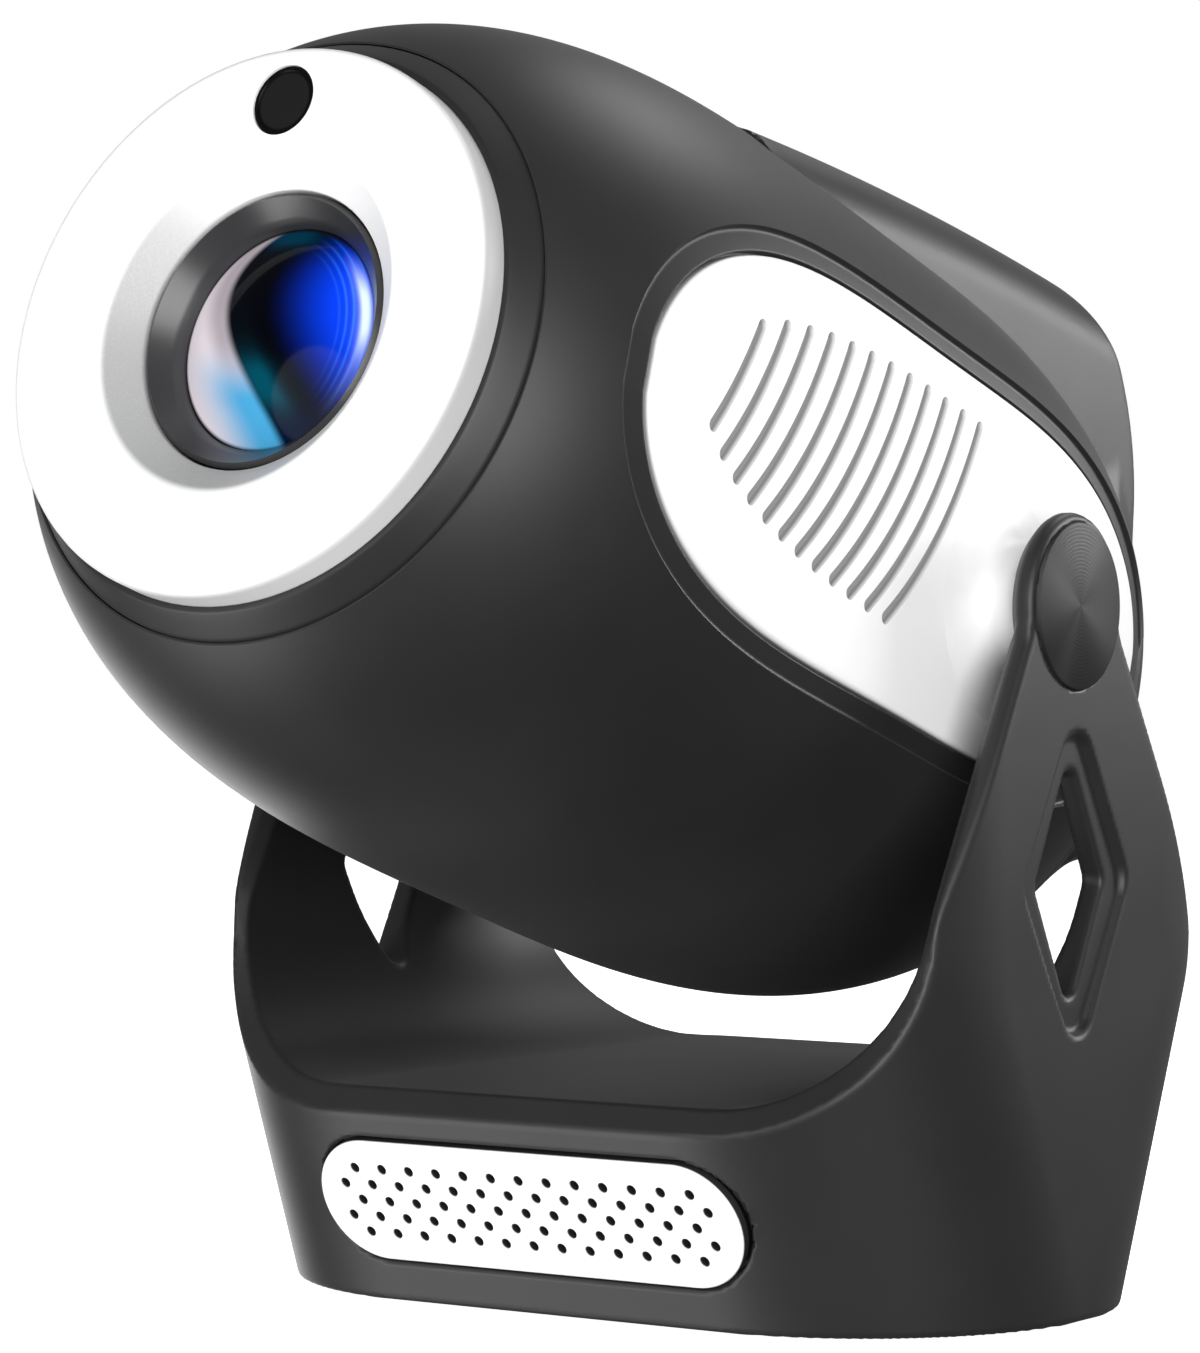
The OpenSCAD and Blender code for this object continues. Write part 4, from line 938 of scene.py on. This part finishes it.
class FrontDisc(bpy.types.Operator):
    """White front disc, the dark ring round it and the sensor window"""

    bl_idname = "projector.front_disc"
    bl_label = "Front disc"

    def execute(self, context):
        front = settings().front
        face, seat, hub = face_place(), nose_place() - 3 * MM, lens_hub()
        skin, rib = 2.5 * MM, 2.6 * MM
        rim, bore, recess = front.disc_radius, front.bore_radius, front.recess_radius
        disc = turned("FrontDisc", [
            (rim, seat), (rim, face, front.disc_round), (recess, face, 0.9 * MM), (bore, hub, 0.4 * MM),
            (bore, seat + MM), (bore + rib, seat + MM), (bore + rib, hub - 0.4 * MM),
            (recess + MM, face - skin), (rim - skin, face - skin), (rim - skin, seat)],
            head_place, columns=220)
        hole, past = front.sensor_radius + 0.12 * MM, 4 * MM

        def beside(x, y, z):
            return head_place(x, y + front.sensor_height, z)

        drill = [(0.0, face - past), (hole, face - past), (hole, face + past), (0.0, face + past)]
        disc = cut_out(disc, turned("Drill", drill, beside, columns=72, closed=False))
        smooth(disc, 30.0)
        add_piece("FrontDisc", disc, "head", "disc", ["front_bezel"])
        edge = front.sensor_radius
        glass = turned("SensorWindow", [
            (0.0, face - skin), (edge, face - skin), (edge, face - 0.45 * MM),
            (edge - 0.15 * MM, face - 0.3 * MM), (edge - 0.7 * MM, face - 0.3 * MM),
            (edge - 0.9 * MM, face - 0.55 * MM), (0.5 * edge, face - 0.45 * MM), (0.0, face - 0.42 * MM)],
            beside, columns=72, closed=False, sharp=25.0)
        add_piece("SensorWindow", glass, "head", "window", ["sensor_window"])
        lip = nose_place()
        trim, inside = front.trim_radius, rim + 0.15 * MM
        ring = turned("TrimRing", [
            (inside, seat), (trim, seat), (trim, lip + 0.2 * MM, 0.7 * MM),
            (inside + 2.2 * MM, lip + 3.4 * MM, 0.7 * MM), (inside + 0.9 * MM, lip + 5 * MM, 0.5 * MM),
            (inside, lip + 5 * MM)], head_place, columns=220)
        add_piece("TrimRing", ring, "head", "soft_black", ["trim_ring"])
        return {"FINISHED"}


GLASS_THICK = 5 * MM


class FrontLens(bpy.types.Operator):
    """Moving lens cell and its coated front glass"""

    bl_idname = "projector.front_lens"
    bl_label = "Front lens"

    def execute(self, context):
        front = settings().front
        cell = cad_copy("LensCell", "lens_cell", 32.0)
        add_piece("LensCell", cell, "focus_lens", "cell", ["lens_cell"])
        radius, dome = front.glass_radius, front.glass_dome
        ball = (radius ** 2 + dome ** 2) / (2 * dome)
        reach = radius * np.sin(np.linspace(0.0, math.pi / 2, 40))
        rim = lens_hub() - front.glass_sink
        skin = rim + np.sqrt(ball ** 2 - reach ** 2) - ball + dome
        back = rim - GLASS_THICK
        profile = np.concatenate([np.stack([reach, skin], -1), [[radius, back], [0.0, back]]])
        glass = turned("FrontGlass", profile, head_place, columns=144, closed=False)
        add_piece("FrontGlass", glass, "focus_lens", "lens", ["front_lens"])
        return {"FINISHED"}


# Ends of the first slot, and the oval field that cuts the slots off, as places ahead and up
SLOT_TOP, SLOT_FOOT = np.array([17.2, 26.8]) * MM, np.array([40.5, -19.6]) * MM
FIELD_MIDDLE, FIELD_HALF, FIELD_POWER = np.array([30.0, 3.6]) * MM, np.array([76.0, 23.3]) * MM, 2.4


def slot_outlines():
    """Vent slots of a panel as closed lines ahead and up: equal arcs side by side in an oval field."""
    panel = settings().panel
    run = SLOT_FOOT - SLOT_TOP
    away = math.sqrt(panel.slot_arc ** 2 - float(run @ run) / 4)
    hub = (SLOT_FOOT + SLOT_TOP) / 2 + away * np.array([-run[1], run[0]]) / np.linalg.norm(run)
    half = panel.slot_width / 2
    ray = lambda a: np.stack([np.cos(a), np.sin(a)], -1)
    around = np.linspace(0.0, TURN, 7200)
    tip = np.linspace(0.0, math.pi, 9)[1:-1]
    outlines = []
    for k in range(panel.slot_count):
        middle = hub + np.array([k * panel.slot_pitch, 0.0])
        spot = (middle + panel.slot_arc * ray(around) - FIELD_MIDDLE) / FIELD_HALF
        held = around[(np.abs(spot) ** FIELD_POWER).sum(-1) < 1]
        low, high = held[0] + half / panel.slot_arc, held[-1] - half / panel.slot_arc
        sweep = np.linspace(low, high, 25)
        flank = [middle + (panel.slot_arc + s * half) * ray(sweep)[::s] for s in (1, -1)]
        caps = [middle + panel.slot_arc * ray(end) + half * ray(end + turn + tip)
                for end, turn in ((high, 0.0), (low, math.pi))]
        outlines.append(np.concatenate([flank[0], caps[0], flank[1], caps[1]]))
    return outlines


SLOT_ABOVE = 4 * MM
COLLAR_ROOM, COLLAR_CURVE, COLLAR_SINK, COLLAR_FOOT = 1.6 * MM, 4.2, 0.25 * MM, 1.5 * MM


class SidePanels(bpy.types.Operator):
    """White side panels with curved vent slots and a flared collar at the hinge"""

    bl_idname = "projector.side_panels"
    bl_label = "Side panels"

    def execute(self, context):
        panel, head, stand = settings().panel, settings().head, settings().stand
        edge = cheek_outline(panel.trace, 120)
        middle = np.array([edge[:, 0].mean(), 0.0])
        chord = np.roll(edge, -1, 0) - np.roll(edge, 1, 0)
        inward = np.stack([chord[:, 1], -chord[:, 0]], -1) / np.linalg.norm(chord, axis=1)[:, None]
        inward *= np.sign(((middle - edge) * inward).sum(-1))[:, None]
        turn = np.linspace(0.0, math.pi / 2, 8)[:, None, None]
        rounding = edge + inward * panel.edge * (1 - np.cos(turn))
        lift = panel.proud - panel.edge + panel.edge * np.sin(turn[..., 0]) + 0 * edge[:, 0]
        shrink = np.linspace(1.0, 0.0, 30)[1:, None, None]
        face = middle + (rounding[-1] - middle) * shrink
        back = middle + (edge - middle) * np.linspace(0.0, 1.0, 6)[:, None, None]
        flat = np.concatenate([back, rounding, face])
        rise = np.concatenate([np.full(back.shape[:2], -panel.seat), lift,
                               np.full(face.shape[:2], panel.proud)])
        reach = stand.gap_top - COLLAR_ROOM
        share = np.linspace(0.0, 1.0, 28)
        radius = panel.collar_radius + panel.collar_flare * (1 - share) ** COLLAR_CURVE
        base = cheek_at(0.0) + panel.proud - COLLAR_SINK
        profile = np.stack([radius, base + (reach - base) * share], -1)
        foot = base - COLLAR_FOOT
        profile = np.concatenate([[[0.0, foot], [radius[0], foot]], profile, [[0.0, reach]]])
        for side, word in SIDES:
            points = head_place(side * (cheek_at(flat[..., 0]) + rise), flat[..., 1], flat[..., 0])
            mesh = mesh_of("SidePanel", points, grid_faces(len(flat), len(edge))[..., ::-side], 60.0)

            def slot_wall(line, top, side=side):
                level = panel.proud + (SLOT_ABOVE if top else -panel.slot_depth)
                return head_place(side * (cheek_at(line[:, 0]) + level), line[:, 1], line[:, 0])

            mesh = cut_out(mesh, prisms("SlotCutter", slot_outlines(), slot_wall))
            smooth(mesh, 35.0)
            add_piece("SidePanel_" + word, mesh, "head", "panel", ["side_panel_" + word])

            def about(a, b, c, side=side):
                return head_place(side * c, b - head.rise, side * a)

            collar = turned("HingeCollar", profile, about, columns=120, closed=False)
            add_piece("HingeCollar_" + word, collar, "head", "white")
        return {"FINISHED"}


# Shapes of the stand


def rhombus(y, z, half_y, half_z, rounding):
    """Signed distance to a diamond by its half sizes, with round corners."""
    side = math.hypot(half_y, half_z)
    half_y, half_z = half_y - rounding * side / half_z, half_z - rounding * side / half_y
    y, z = np.abs(y), np.abs(z)
    share = ((half_y - 2 * y) * half_y - (half_z - 2 * z) * half_z) / (half_y ** 2 + half_z ** 2)
    share = np.clip(share, -1, 1)
    away = np.hypot(y - 0.5 * half_y * (1 - share), z - 0.5 * half_z * (1 + share))
    return away * np.sign(y * half_z + z * half_y - half_y * half_z) - rounding


def box_corner(u, v):
    """Distance outside a corner, negative inside it."""
    return np.hypot(np.maximum(u, 0), np.maximum(v, 0)) + np.minimum(np.maximum(u, v), 0)


def stand_plan(x, y, z):
    """Signed distance to the flared, round-cornered upright form of the stand."""
    s = settings().stand
    softness = s.shoulder_round * 2 / s.shoulder_height
    climb = s.shoulder_height * smooth_min(z / s.shoulder_height, 1.0 + 0 * z, softness)
    share = np.clip(climb / s.shoulder_height, -0.1, 1.0)
    front = s.foot_half_depth + (s.shoulder_front - s.foot_half_depth) * share
    rear = s.foot_half_depth + (s.shoulder_rear - s.foot_half_depth) * share
    wide = s.foot_half_width + (s.arm_half_width - s.foot_half_width) * share
    beside, deep = np.abs(x) - wide, np.abs(y - (rear - front) / 2) - (front + rear) / 2
    return box_corner(beside + s.corner, deep + s.corner) - s.corner


NECK_ANGLE = math.radians(14.0)
NECK_CUT, NECK_BLEND, SHOULDER_BLEND = 0.5 * MM, 2.5 * MM, 5.0 * MM


def stand_arms(y, z):
    """Signed distance to the side view of the arms over the base: a taper and a round top."""
    s = settings().stand
    root = np.where(y < 0, s.arm_root, s.arm_root_rear)
    wide = s.arm_top * math.cos(NECK_ANGLE) - root
    tall = PIVOT[2] - s.arm_top * math.sin(NECK_ANGLE) - s.shoulder_height
    taper = ((np.abs(y) - root) * tall - (z - s.shoulder_height) * wide) / np.hypot(wide, tall)
    taper = smooth_max(taper, z - s.shoulder_height - tall, NECK_CUT)
    head = np.hypot(y, z - PIVOT[2]) - s.arm_top
    return smooth_min(smooth_min(taper, head, NECK_BLEND), z - s.shoulder_height, SHOULDER_BLEND)


def stand_gap(x, z):
    """Signed distance to the room between the arms."""
    s = settings().stand
    low = s.floor_height + s.floor_round
    lean = (s.gap_top - s.gap) / (PIVOT[2] - low)
    side = s.gap - s.floor_round + lean * np.maximum(z - low, 0)
    return box_corner(np.abs(x) - side, low - z) - s.floor_round


def front_lean():
    """Angle that the stand's front face leans forward by."""
    s = settings().stand
    return math.atan((s.shoulder_front - s.foot_half_depth) / s.shoulder_height)


# Half depth, half height and rounding of a diamond window and of the sunk border round it
WINDOW, BORDER = (13.0 * MM, 24.1 * MM, 2.8 * MM), (20.0 * MM, 33.3 * MM, 5.6 * MM)
WINDOW_EDGE, BORDER_EDGE, FOOT_EDGE, GAP_EDGE, BEVEL_EDGE = 1.5 * MM, 1.4 * MM, 1.0 * MM, 0.5 * MM, 0.6 * MM
BEVEL_LOW, BEVEL_RUN = 46 * MM, 34 * MM
SEAT_INSET, SEAT_DEPTH, SEAT_EDGE = 0.6 * MM, 2.4 * MM, 0.35 * MM
PLATE_ROOM, PLATE_DEPTH, PLATE_EDGE = 0.5 * MM, 5 * MM, 0.8 * MM
BOTTOM_WALL, BOTTOM_SINK = 3.2 * MM, 2.7 * MM


def stand_field(x, y, z):
    """The whole stand: its upright form within the arms' side view, less the gap, the windows, the caps'
    seats and the rooms of the speaker plate and the bottom plate. The gap's bevel narrows up the arms."""
    s = settings().stand
    plan = stand_plan(x, y, z)
    body = smooth_max(smooth_max(plan, -z, FOOT_EDGE), stand_arms(y, z), s.edge * 1.6)
    gap = stand_gap(x, z)
    share = np.clip((z - BEVEL_LOW) / BEVEL_RUN, 0.0, 1.0)
    bevel = s.bevel + (s.arm_bevel - s.bevel) * share * share * (3 - 2 * share)
    bevelled = (body - gap + bevel) * math.sqrt(0.5)
    body = smooth_max(smooth_max(body, -gap, GAP_EDGE), bevelled, BEVEL_EDGE)
    tall, inward = z - s.window_height, s.arm_half_width - np.abs(x)
    body = smooth_max(body, -rhombus(y, tall, *WINDOW), WINDOW_EDGE)
    border = smooth_max(rhombus(y, tall, *BORDER), inward - s.window_sink, BORDER_EDGE)
    body = smooth_max(body, -border, BORDER_EDGE)
    seat = np.maximum(np.hypot(y, z - PIVOT[2]) - s.cap_radius + SEAT_INSET, inward - SEAT_DEPTH)
    body = smooth_max(body, -seat, SEAT_EDGE)
    lean = front_lean()
    out = -(y + s.foot_half_depth) * math.cos(lean) - z * math.sin(lean)
    up = -(y + s.foot_half_depth) * math.sin(lean) + z * math.cos(lean) - s.grille_up
    end = s.grille_half_length - s.grille_radius
    pocket = np.hypot(np.maximum(np.abs(x) - end, 0), up) - s.grille_radius - PLATE_ROOM
    body = smooth_max(body, -np.maximum(pocket, -out - PLATE_DEPTH), PLATE_EDGE)
    return np.maximum(body, -np.maximum(plan + BOTTOM_WALL, z - BOTTOM_SINK))


class StandFrame(bpy.types.Operator):
    """One-piece flared stand with two arms and diamond windows"""

    bl_idname = "projector.stand_frame"
    bl_label = "Stand"

    def execute(self, context):
        s = settings().stand
        reach = np.array([s.foot_half_width, s.shoulder_front, PIVOT[2] + s.arm_top])
        low = np.array([-reach[0], -reach[1], 0.0]) - 2 * s.cell
        high = np.array([reach[0], s.shoulder_rear, reach[2]]) + 2 * s.cell
        mesh = level_mesh("StandFrame", stand_field, low, high, s.cell)
        points = np.empty(3 * len(mesh.vertices))
        mesh.vertices.foreach_get("co", points)
        slope = slope_of(stand_field, points.reshape(-1, 3), 0.05 * MM)[1]
        mesh.normals_split_custom_set_from_vertices(slope / np.linalg.norm(slope, axis=1, keepdims=True))
        add_piece("StandFrame", mesh, "stand", "soft_black", ["yoke_frame"])
        return {"FINISHED"}


class HingeCaps(bpy.types.Operator):
    """Spun metal caps over the two hinges"""

    bl_idname = "projector.hinge_caps"
    bl_label = "Hinge caps"

    def execute(self, context):
        s = settings().stand
        top = s.arm_half_width + s.cap_proud
        back, rim = top - s.cap_thick, s.cap_radius
        profile = [(0.0, back), (rim, back), (rim, top - 0.4 * MM), (rim - 0.12 * MM, top - 0.12 * MM),
                   (rim - 0.4 * MM, top), (0.0, top)]
        for side, word in SIDES:

            def about(a, b, c, side=side):
                return PIVOT + np.stack([side * c, side * a, b], -1)

            mesh = turned("HingeCap", profile, about, columns=160, closed=False, sharp=40.0)
            add_piece("HingeCap_" + word, mesh, "stand", "spun", ["arm_cap_" + word])
        return {"FINISHED"}


def plate_place(x, up, out):
    """Row-frame place of a point on the front face: across and up from the plate's middle, and outward."""
    s, lean = settings().stand, front_lean()
    x, up, out = np.broadcast_arrays(x, np.asarray(up, float) + s.grille_up, out)
    y = -s.foot_half_depth - up * math.sin(lean) - out * math.cos(lean)
    return np.stack([x, y, up * math.cos(lean) - out * math.sin(lean)], -1)


class SpeakerPlate(bpy.types.Operator):
    """White perforated speaker plate"""

    bl_idname = "projector.speaker_plate"
    bl_label = "Speaker plate"

    def execute(self, context):
        s = settings().stand
        turn = np.concatenate([np.linspace(-0.25, 0.25, 33), np.linspace(0.25, 0.75, 33)]) * TURN
        end = np.repeat([1.0, -1.0], 33) * (s.grille_half_length - s.grille_radius)
        bend = np.linspace(0.0, math.pi / 2, 6)
        edge = 0.5 * MM
        top, foot = s.grille_proud, s.grille_proud - s.grille_thick
        share = np.concatenate([[0.0, 0.5, 1.0], 1 - edge / s.grille_radius * (1 - np.cos(bend)), [0.5, 0.0]])
        radius = share[:, None] * s.grille_radius
        out = np.concatenate([[foot, foot, foot], top - edge + edge * np.sin(bend), [top, top]])[:, None]
        points = plate_place(end + radius * np.cos(turn), radius * np.sin(turn), out + 0 * turn)
        mesh = mesh_of("SpeakerPlate", points, grid_faces(len(out), len(turn)))
        ring = np.linspace(0.0, TURN, 20, endpoint=False)
        hole = s.hole_radius * np.stack([np.cos(ring), np.sin(ring)], -1)
        rows = [(row, s.hole_count - 1 + row % 2) for row in range(-2, 3)]
        middles = [((k - (count - 1) / 2) * s.hole_pitch, row * s.row_pitch)
                   for row, count in rows for k in range(count)]
        reach = lambda line, top: plate_place(line[:, 0], line[:, 1], 3 * MM if top else -4 * MM)
        mesh = cut_out(mesh, prisms("HoleCutter", [hole + middle for middle in middles], reach))
        smooth(mesh, 35.0)
        add_piece("SpeakerPlate", mesh, "stand", "grille", ["speaker_grille"])
        return {"FINISHED"}


CARRIED = {
    "black": ["base_plate", "speaker_frames", "lens_tube", "optics_housing", "fan_frame", "fan_rotor",
              "audio_jack", "dc_jack", "tact_switch", "power_button"],
    "rubber": ["rubber_feet"],
    "zinc": ["base_screws", "cover_screws", "hinge_nuts"],
    "brass": ["tripod_insert"],
    "steel": ["hinge_shaft_left", "hinge_shaft_right", "friction_washer_left", "friction_washer_right",
              "lead_screw", "motor_bracket", "focus_motor"],
    "socket": ["hdmi_socket", "usb_socket"],
    "aluminium": ["heat_sink", "led_board"],
    "ferrite": ["speaker_magnets"],
    "cloth": ["grille_cloth"],
    "cone": ["speaker_cones"],
    "board": ["main_board", "sensor_module"],
    "phosphor": ["led_emitter"],
    "plate": ["rear_lens", "condenser_lens", "heat_glass", "rear_fresnel", "lcd_panel", "front_fresnel"],
}


class CarriedPieces(bpy.types.Operator):
    """Finishes of the pieces that keep their CAD solids"""

    bl_idname = "projector.carried_pieces"
    bl_label = "Inner pieces"

    def execute(self, context):
        for finish, names in CARRIED.items():
            for name in names:
                mesh = frame["nodes"][name].data
                mesh.materials.clear()
                mesh.materials.append(FINISH[finish])
        return {"FINISHED"}


def aim(item, target):
    """Turns a light so that it looks at a place."""
    item.rotation_euler = (Vector(target) - item.location).to_track_quat("-Z", "Y").to_euler()


FLOOR_HALF = 6.0
AIM = (0.0, -0.02, 0.12)
# Setting, place and size of each light
LIGHTS = {
    "FrontLight": ("front_power", (-0.35, -1.7, 0.45), 1.1),
    "LowLight": ("low_power", (-0.85, -1.0, -0.7), 1.0),
    "SideLight": ("side_power", (1.25, -1.2, 0.3), 1.3),
    "TopLight": ("top_power", (0.1, 1.1, 1.4), 0.7),
    "LeftLight": ("left_power", (-1.3, 0.9, -0.3), 0.8),
    "RimLight": ("rim_power", (0.40, 0.58, 0.31), 0.26),
}
CAMERA_PLACE = (0.49539, -0.76153, 0.12867)
CAMERA_TURN = (math.radians(89.442), 0.0, math.radians(34.287))


class StageSet(bpy.types.Operator):
    """Pale floor, soft studio light and the camera"""

    bl_idname = "projector.stage_set"
    bl_label = "Stage"

    def execute(self, context):
        scene, studio = context.scene, settings().studio
        wide, low = FLOOR_HALF, CAD_BOX[0][2]
        corners = [(-wide, -wide, low), (wide, -wide, low), (wide, wide, low), (-wide, wide, low)]
        mesh = bpy.data.meshes.new("Floor")
        mesh.from_pydata(corners, [], [(0, 1, 2, 3)])
        floor = bpy.data.objects.new("Floor", mesh)
        scene.collection.objects.link(floor)
        pale = Finish("PaleFloor", {"Specular IOR Level": 0.0, "Roughness": 0.9, "Emission Strength": 1.0,
                                    "Emission Color": (1.0, 1.0, 1.0, 1.0)})
        tone = tuple(settings().finishes.floor)
        pale.feed(Base_Color=pale.blend(pale.noise(6.0), scaled(tone, 0.99), tone))
        mesh.materials.append(pale.material)
        floor.visible_diffuse = False
        floor.visible_glossy = False
        floor.visible_shadow = False
        for name, (setting, spot, size) in LIGHTS.items():
            lamp = bpy.data.lights.new(name, "AREA")
            lamp.shape, lamp.size, lamp.energy = "DISK", size, getattr(studio, setting)
            item = bpy.data.objects.new(name, lamp)
            scene.collection.objects.link(item)
            item.location = spot
            item.visible_camera = False
            aim(item, AIM)
        self.surround(scene, studio)
        camera = bpy.data.cameras.new("Camera")
        camera.sensor_width, camera.sensor_fit, camera.lens = 36.0, "AUTO", studio.focal_length
        camera.clip_start, camera.clip_end = 0.01, 50.0
        item = bpy.data.objects.new("Camera", camera)
        scene.collection.objects.link(item)
        item.location, item.rotation_euler = CAMERA_PLACE, CAMERA_TURN
        scene.camera = item
        scene.view_settings.view_transform = "Standard"
        scene.view_settings.look = "None"
        return {"FINISHED"}

    def surround(self, scene, studio):
        """White behind the object, and for its light a room that is bright above and dark below."""
        world = bpy.data.worlds.new("Surround")
        scene.world = world
        world.use_nodes = True
        nodes, links = world.node_tree.nodes, world.node_tree.links
        nodes.clear()
        place, split = nodes.new("ShaderNodeTexCoord"), nodes.new("ShaderNodeSeparateXYZ")
        links.new(place.outputs["Generated"], split.inputs[0])
        height = nodes.new("ShaderNodeMapRange")
        height.interpolation_type = "SMOOTHSTEP"
        limits = {"From Min": -0.5, "From Max": 0.4, "To Min": 0.1, "To Max": studio.surround}
        for socket, value in limits.items():
            height.inputs[socket].default_value = value
        links.new(split.outputs["Z"], height.inputs["Value"])
        light, white = nodes.new("ShaderNodeBackground"), nodes.new("ShaderNodeBackground")
        links.new(height.outputs[0], light.inputs["Strength"])
        white.inputs["Strength"].default_value = 1.0
        white.inputs["Color"].default_value = light.inputs["Color"].default_value = (1.0, 1.0, 1.0, 1.0)
        path, mix = nodes.new("ShaderNodeLightPath"), nodes.new("ShaderNodeMixShader")
        out = nodes.new("ShaderNodeOutputWorld")
        links.new(path.outputs["Is Camera Ray"], mix.inputs[0])
        links.new(light.outputs[0], mix.inputs[1])
        links.new(white.outputs[0], mix.inputs[2])
        links.new(mix.outputs[0], out.inputs[0])


OPERATORS = [HeadShell, RearCover, FrontDisc, FrontLens, SidePanels, StandFrame, HingeCaps, SpeakerPlate,
             CarriedPieces, StageSet]


class ProjectorPanel(bpy.types.Panel):
    """Lists the projector's operators and settings"""

    bl_idname = "VIEW3D_PT_projector"
    bl_label = "Projector"
    bl_space_type = "VIEW_3D"
    bl_region_type = "UI"
    bl_category = "Projector"

    def draw(self, context):
        for operator in OPERATORS:
            self.layout.operator(operator.bl_idname)
        for name in GROUPS:
            group = getattr(context.scene.projector, name)
            box = self.layout.box()
            box.label(text=name.capitalize())
            for key in group.bl_rna.properties.keys():
                if key not in ("rna_type", "name"):
                    box.prop(group, key)


CLASSES = [*GROUPS.values(), ProjectorSettings, *OPERATORS, ProjectorPanel]


def register():
    for item in CLASSES:
        bpy.utils.register_class(item)
    bpy.types.Scene.projector = PointerProperty(type=ProjectorSettings)


def unregister():
    del bpy.types.Scene.projector
    for item in reversed(CLASSES):
        bpy.utils.unregister_class(item)


def main():
    """Builds every piece in order."""
    register()
    make_finishes()
    for operator in OPERATORS:
        group, name = operator.bl_idname.split(".")
        getattr(getattr(bpy.ops, group), name)()


if __name__ == "__main__":
    main()
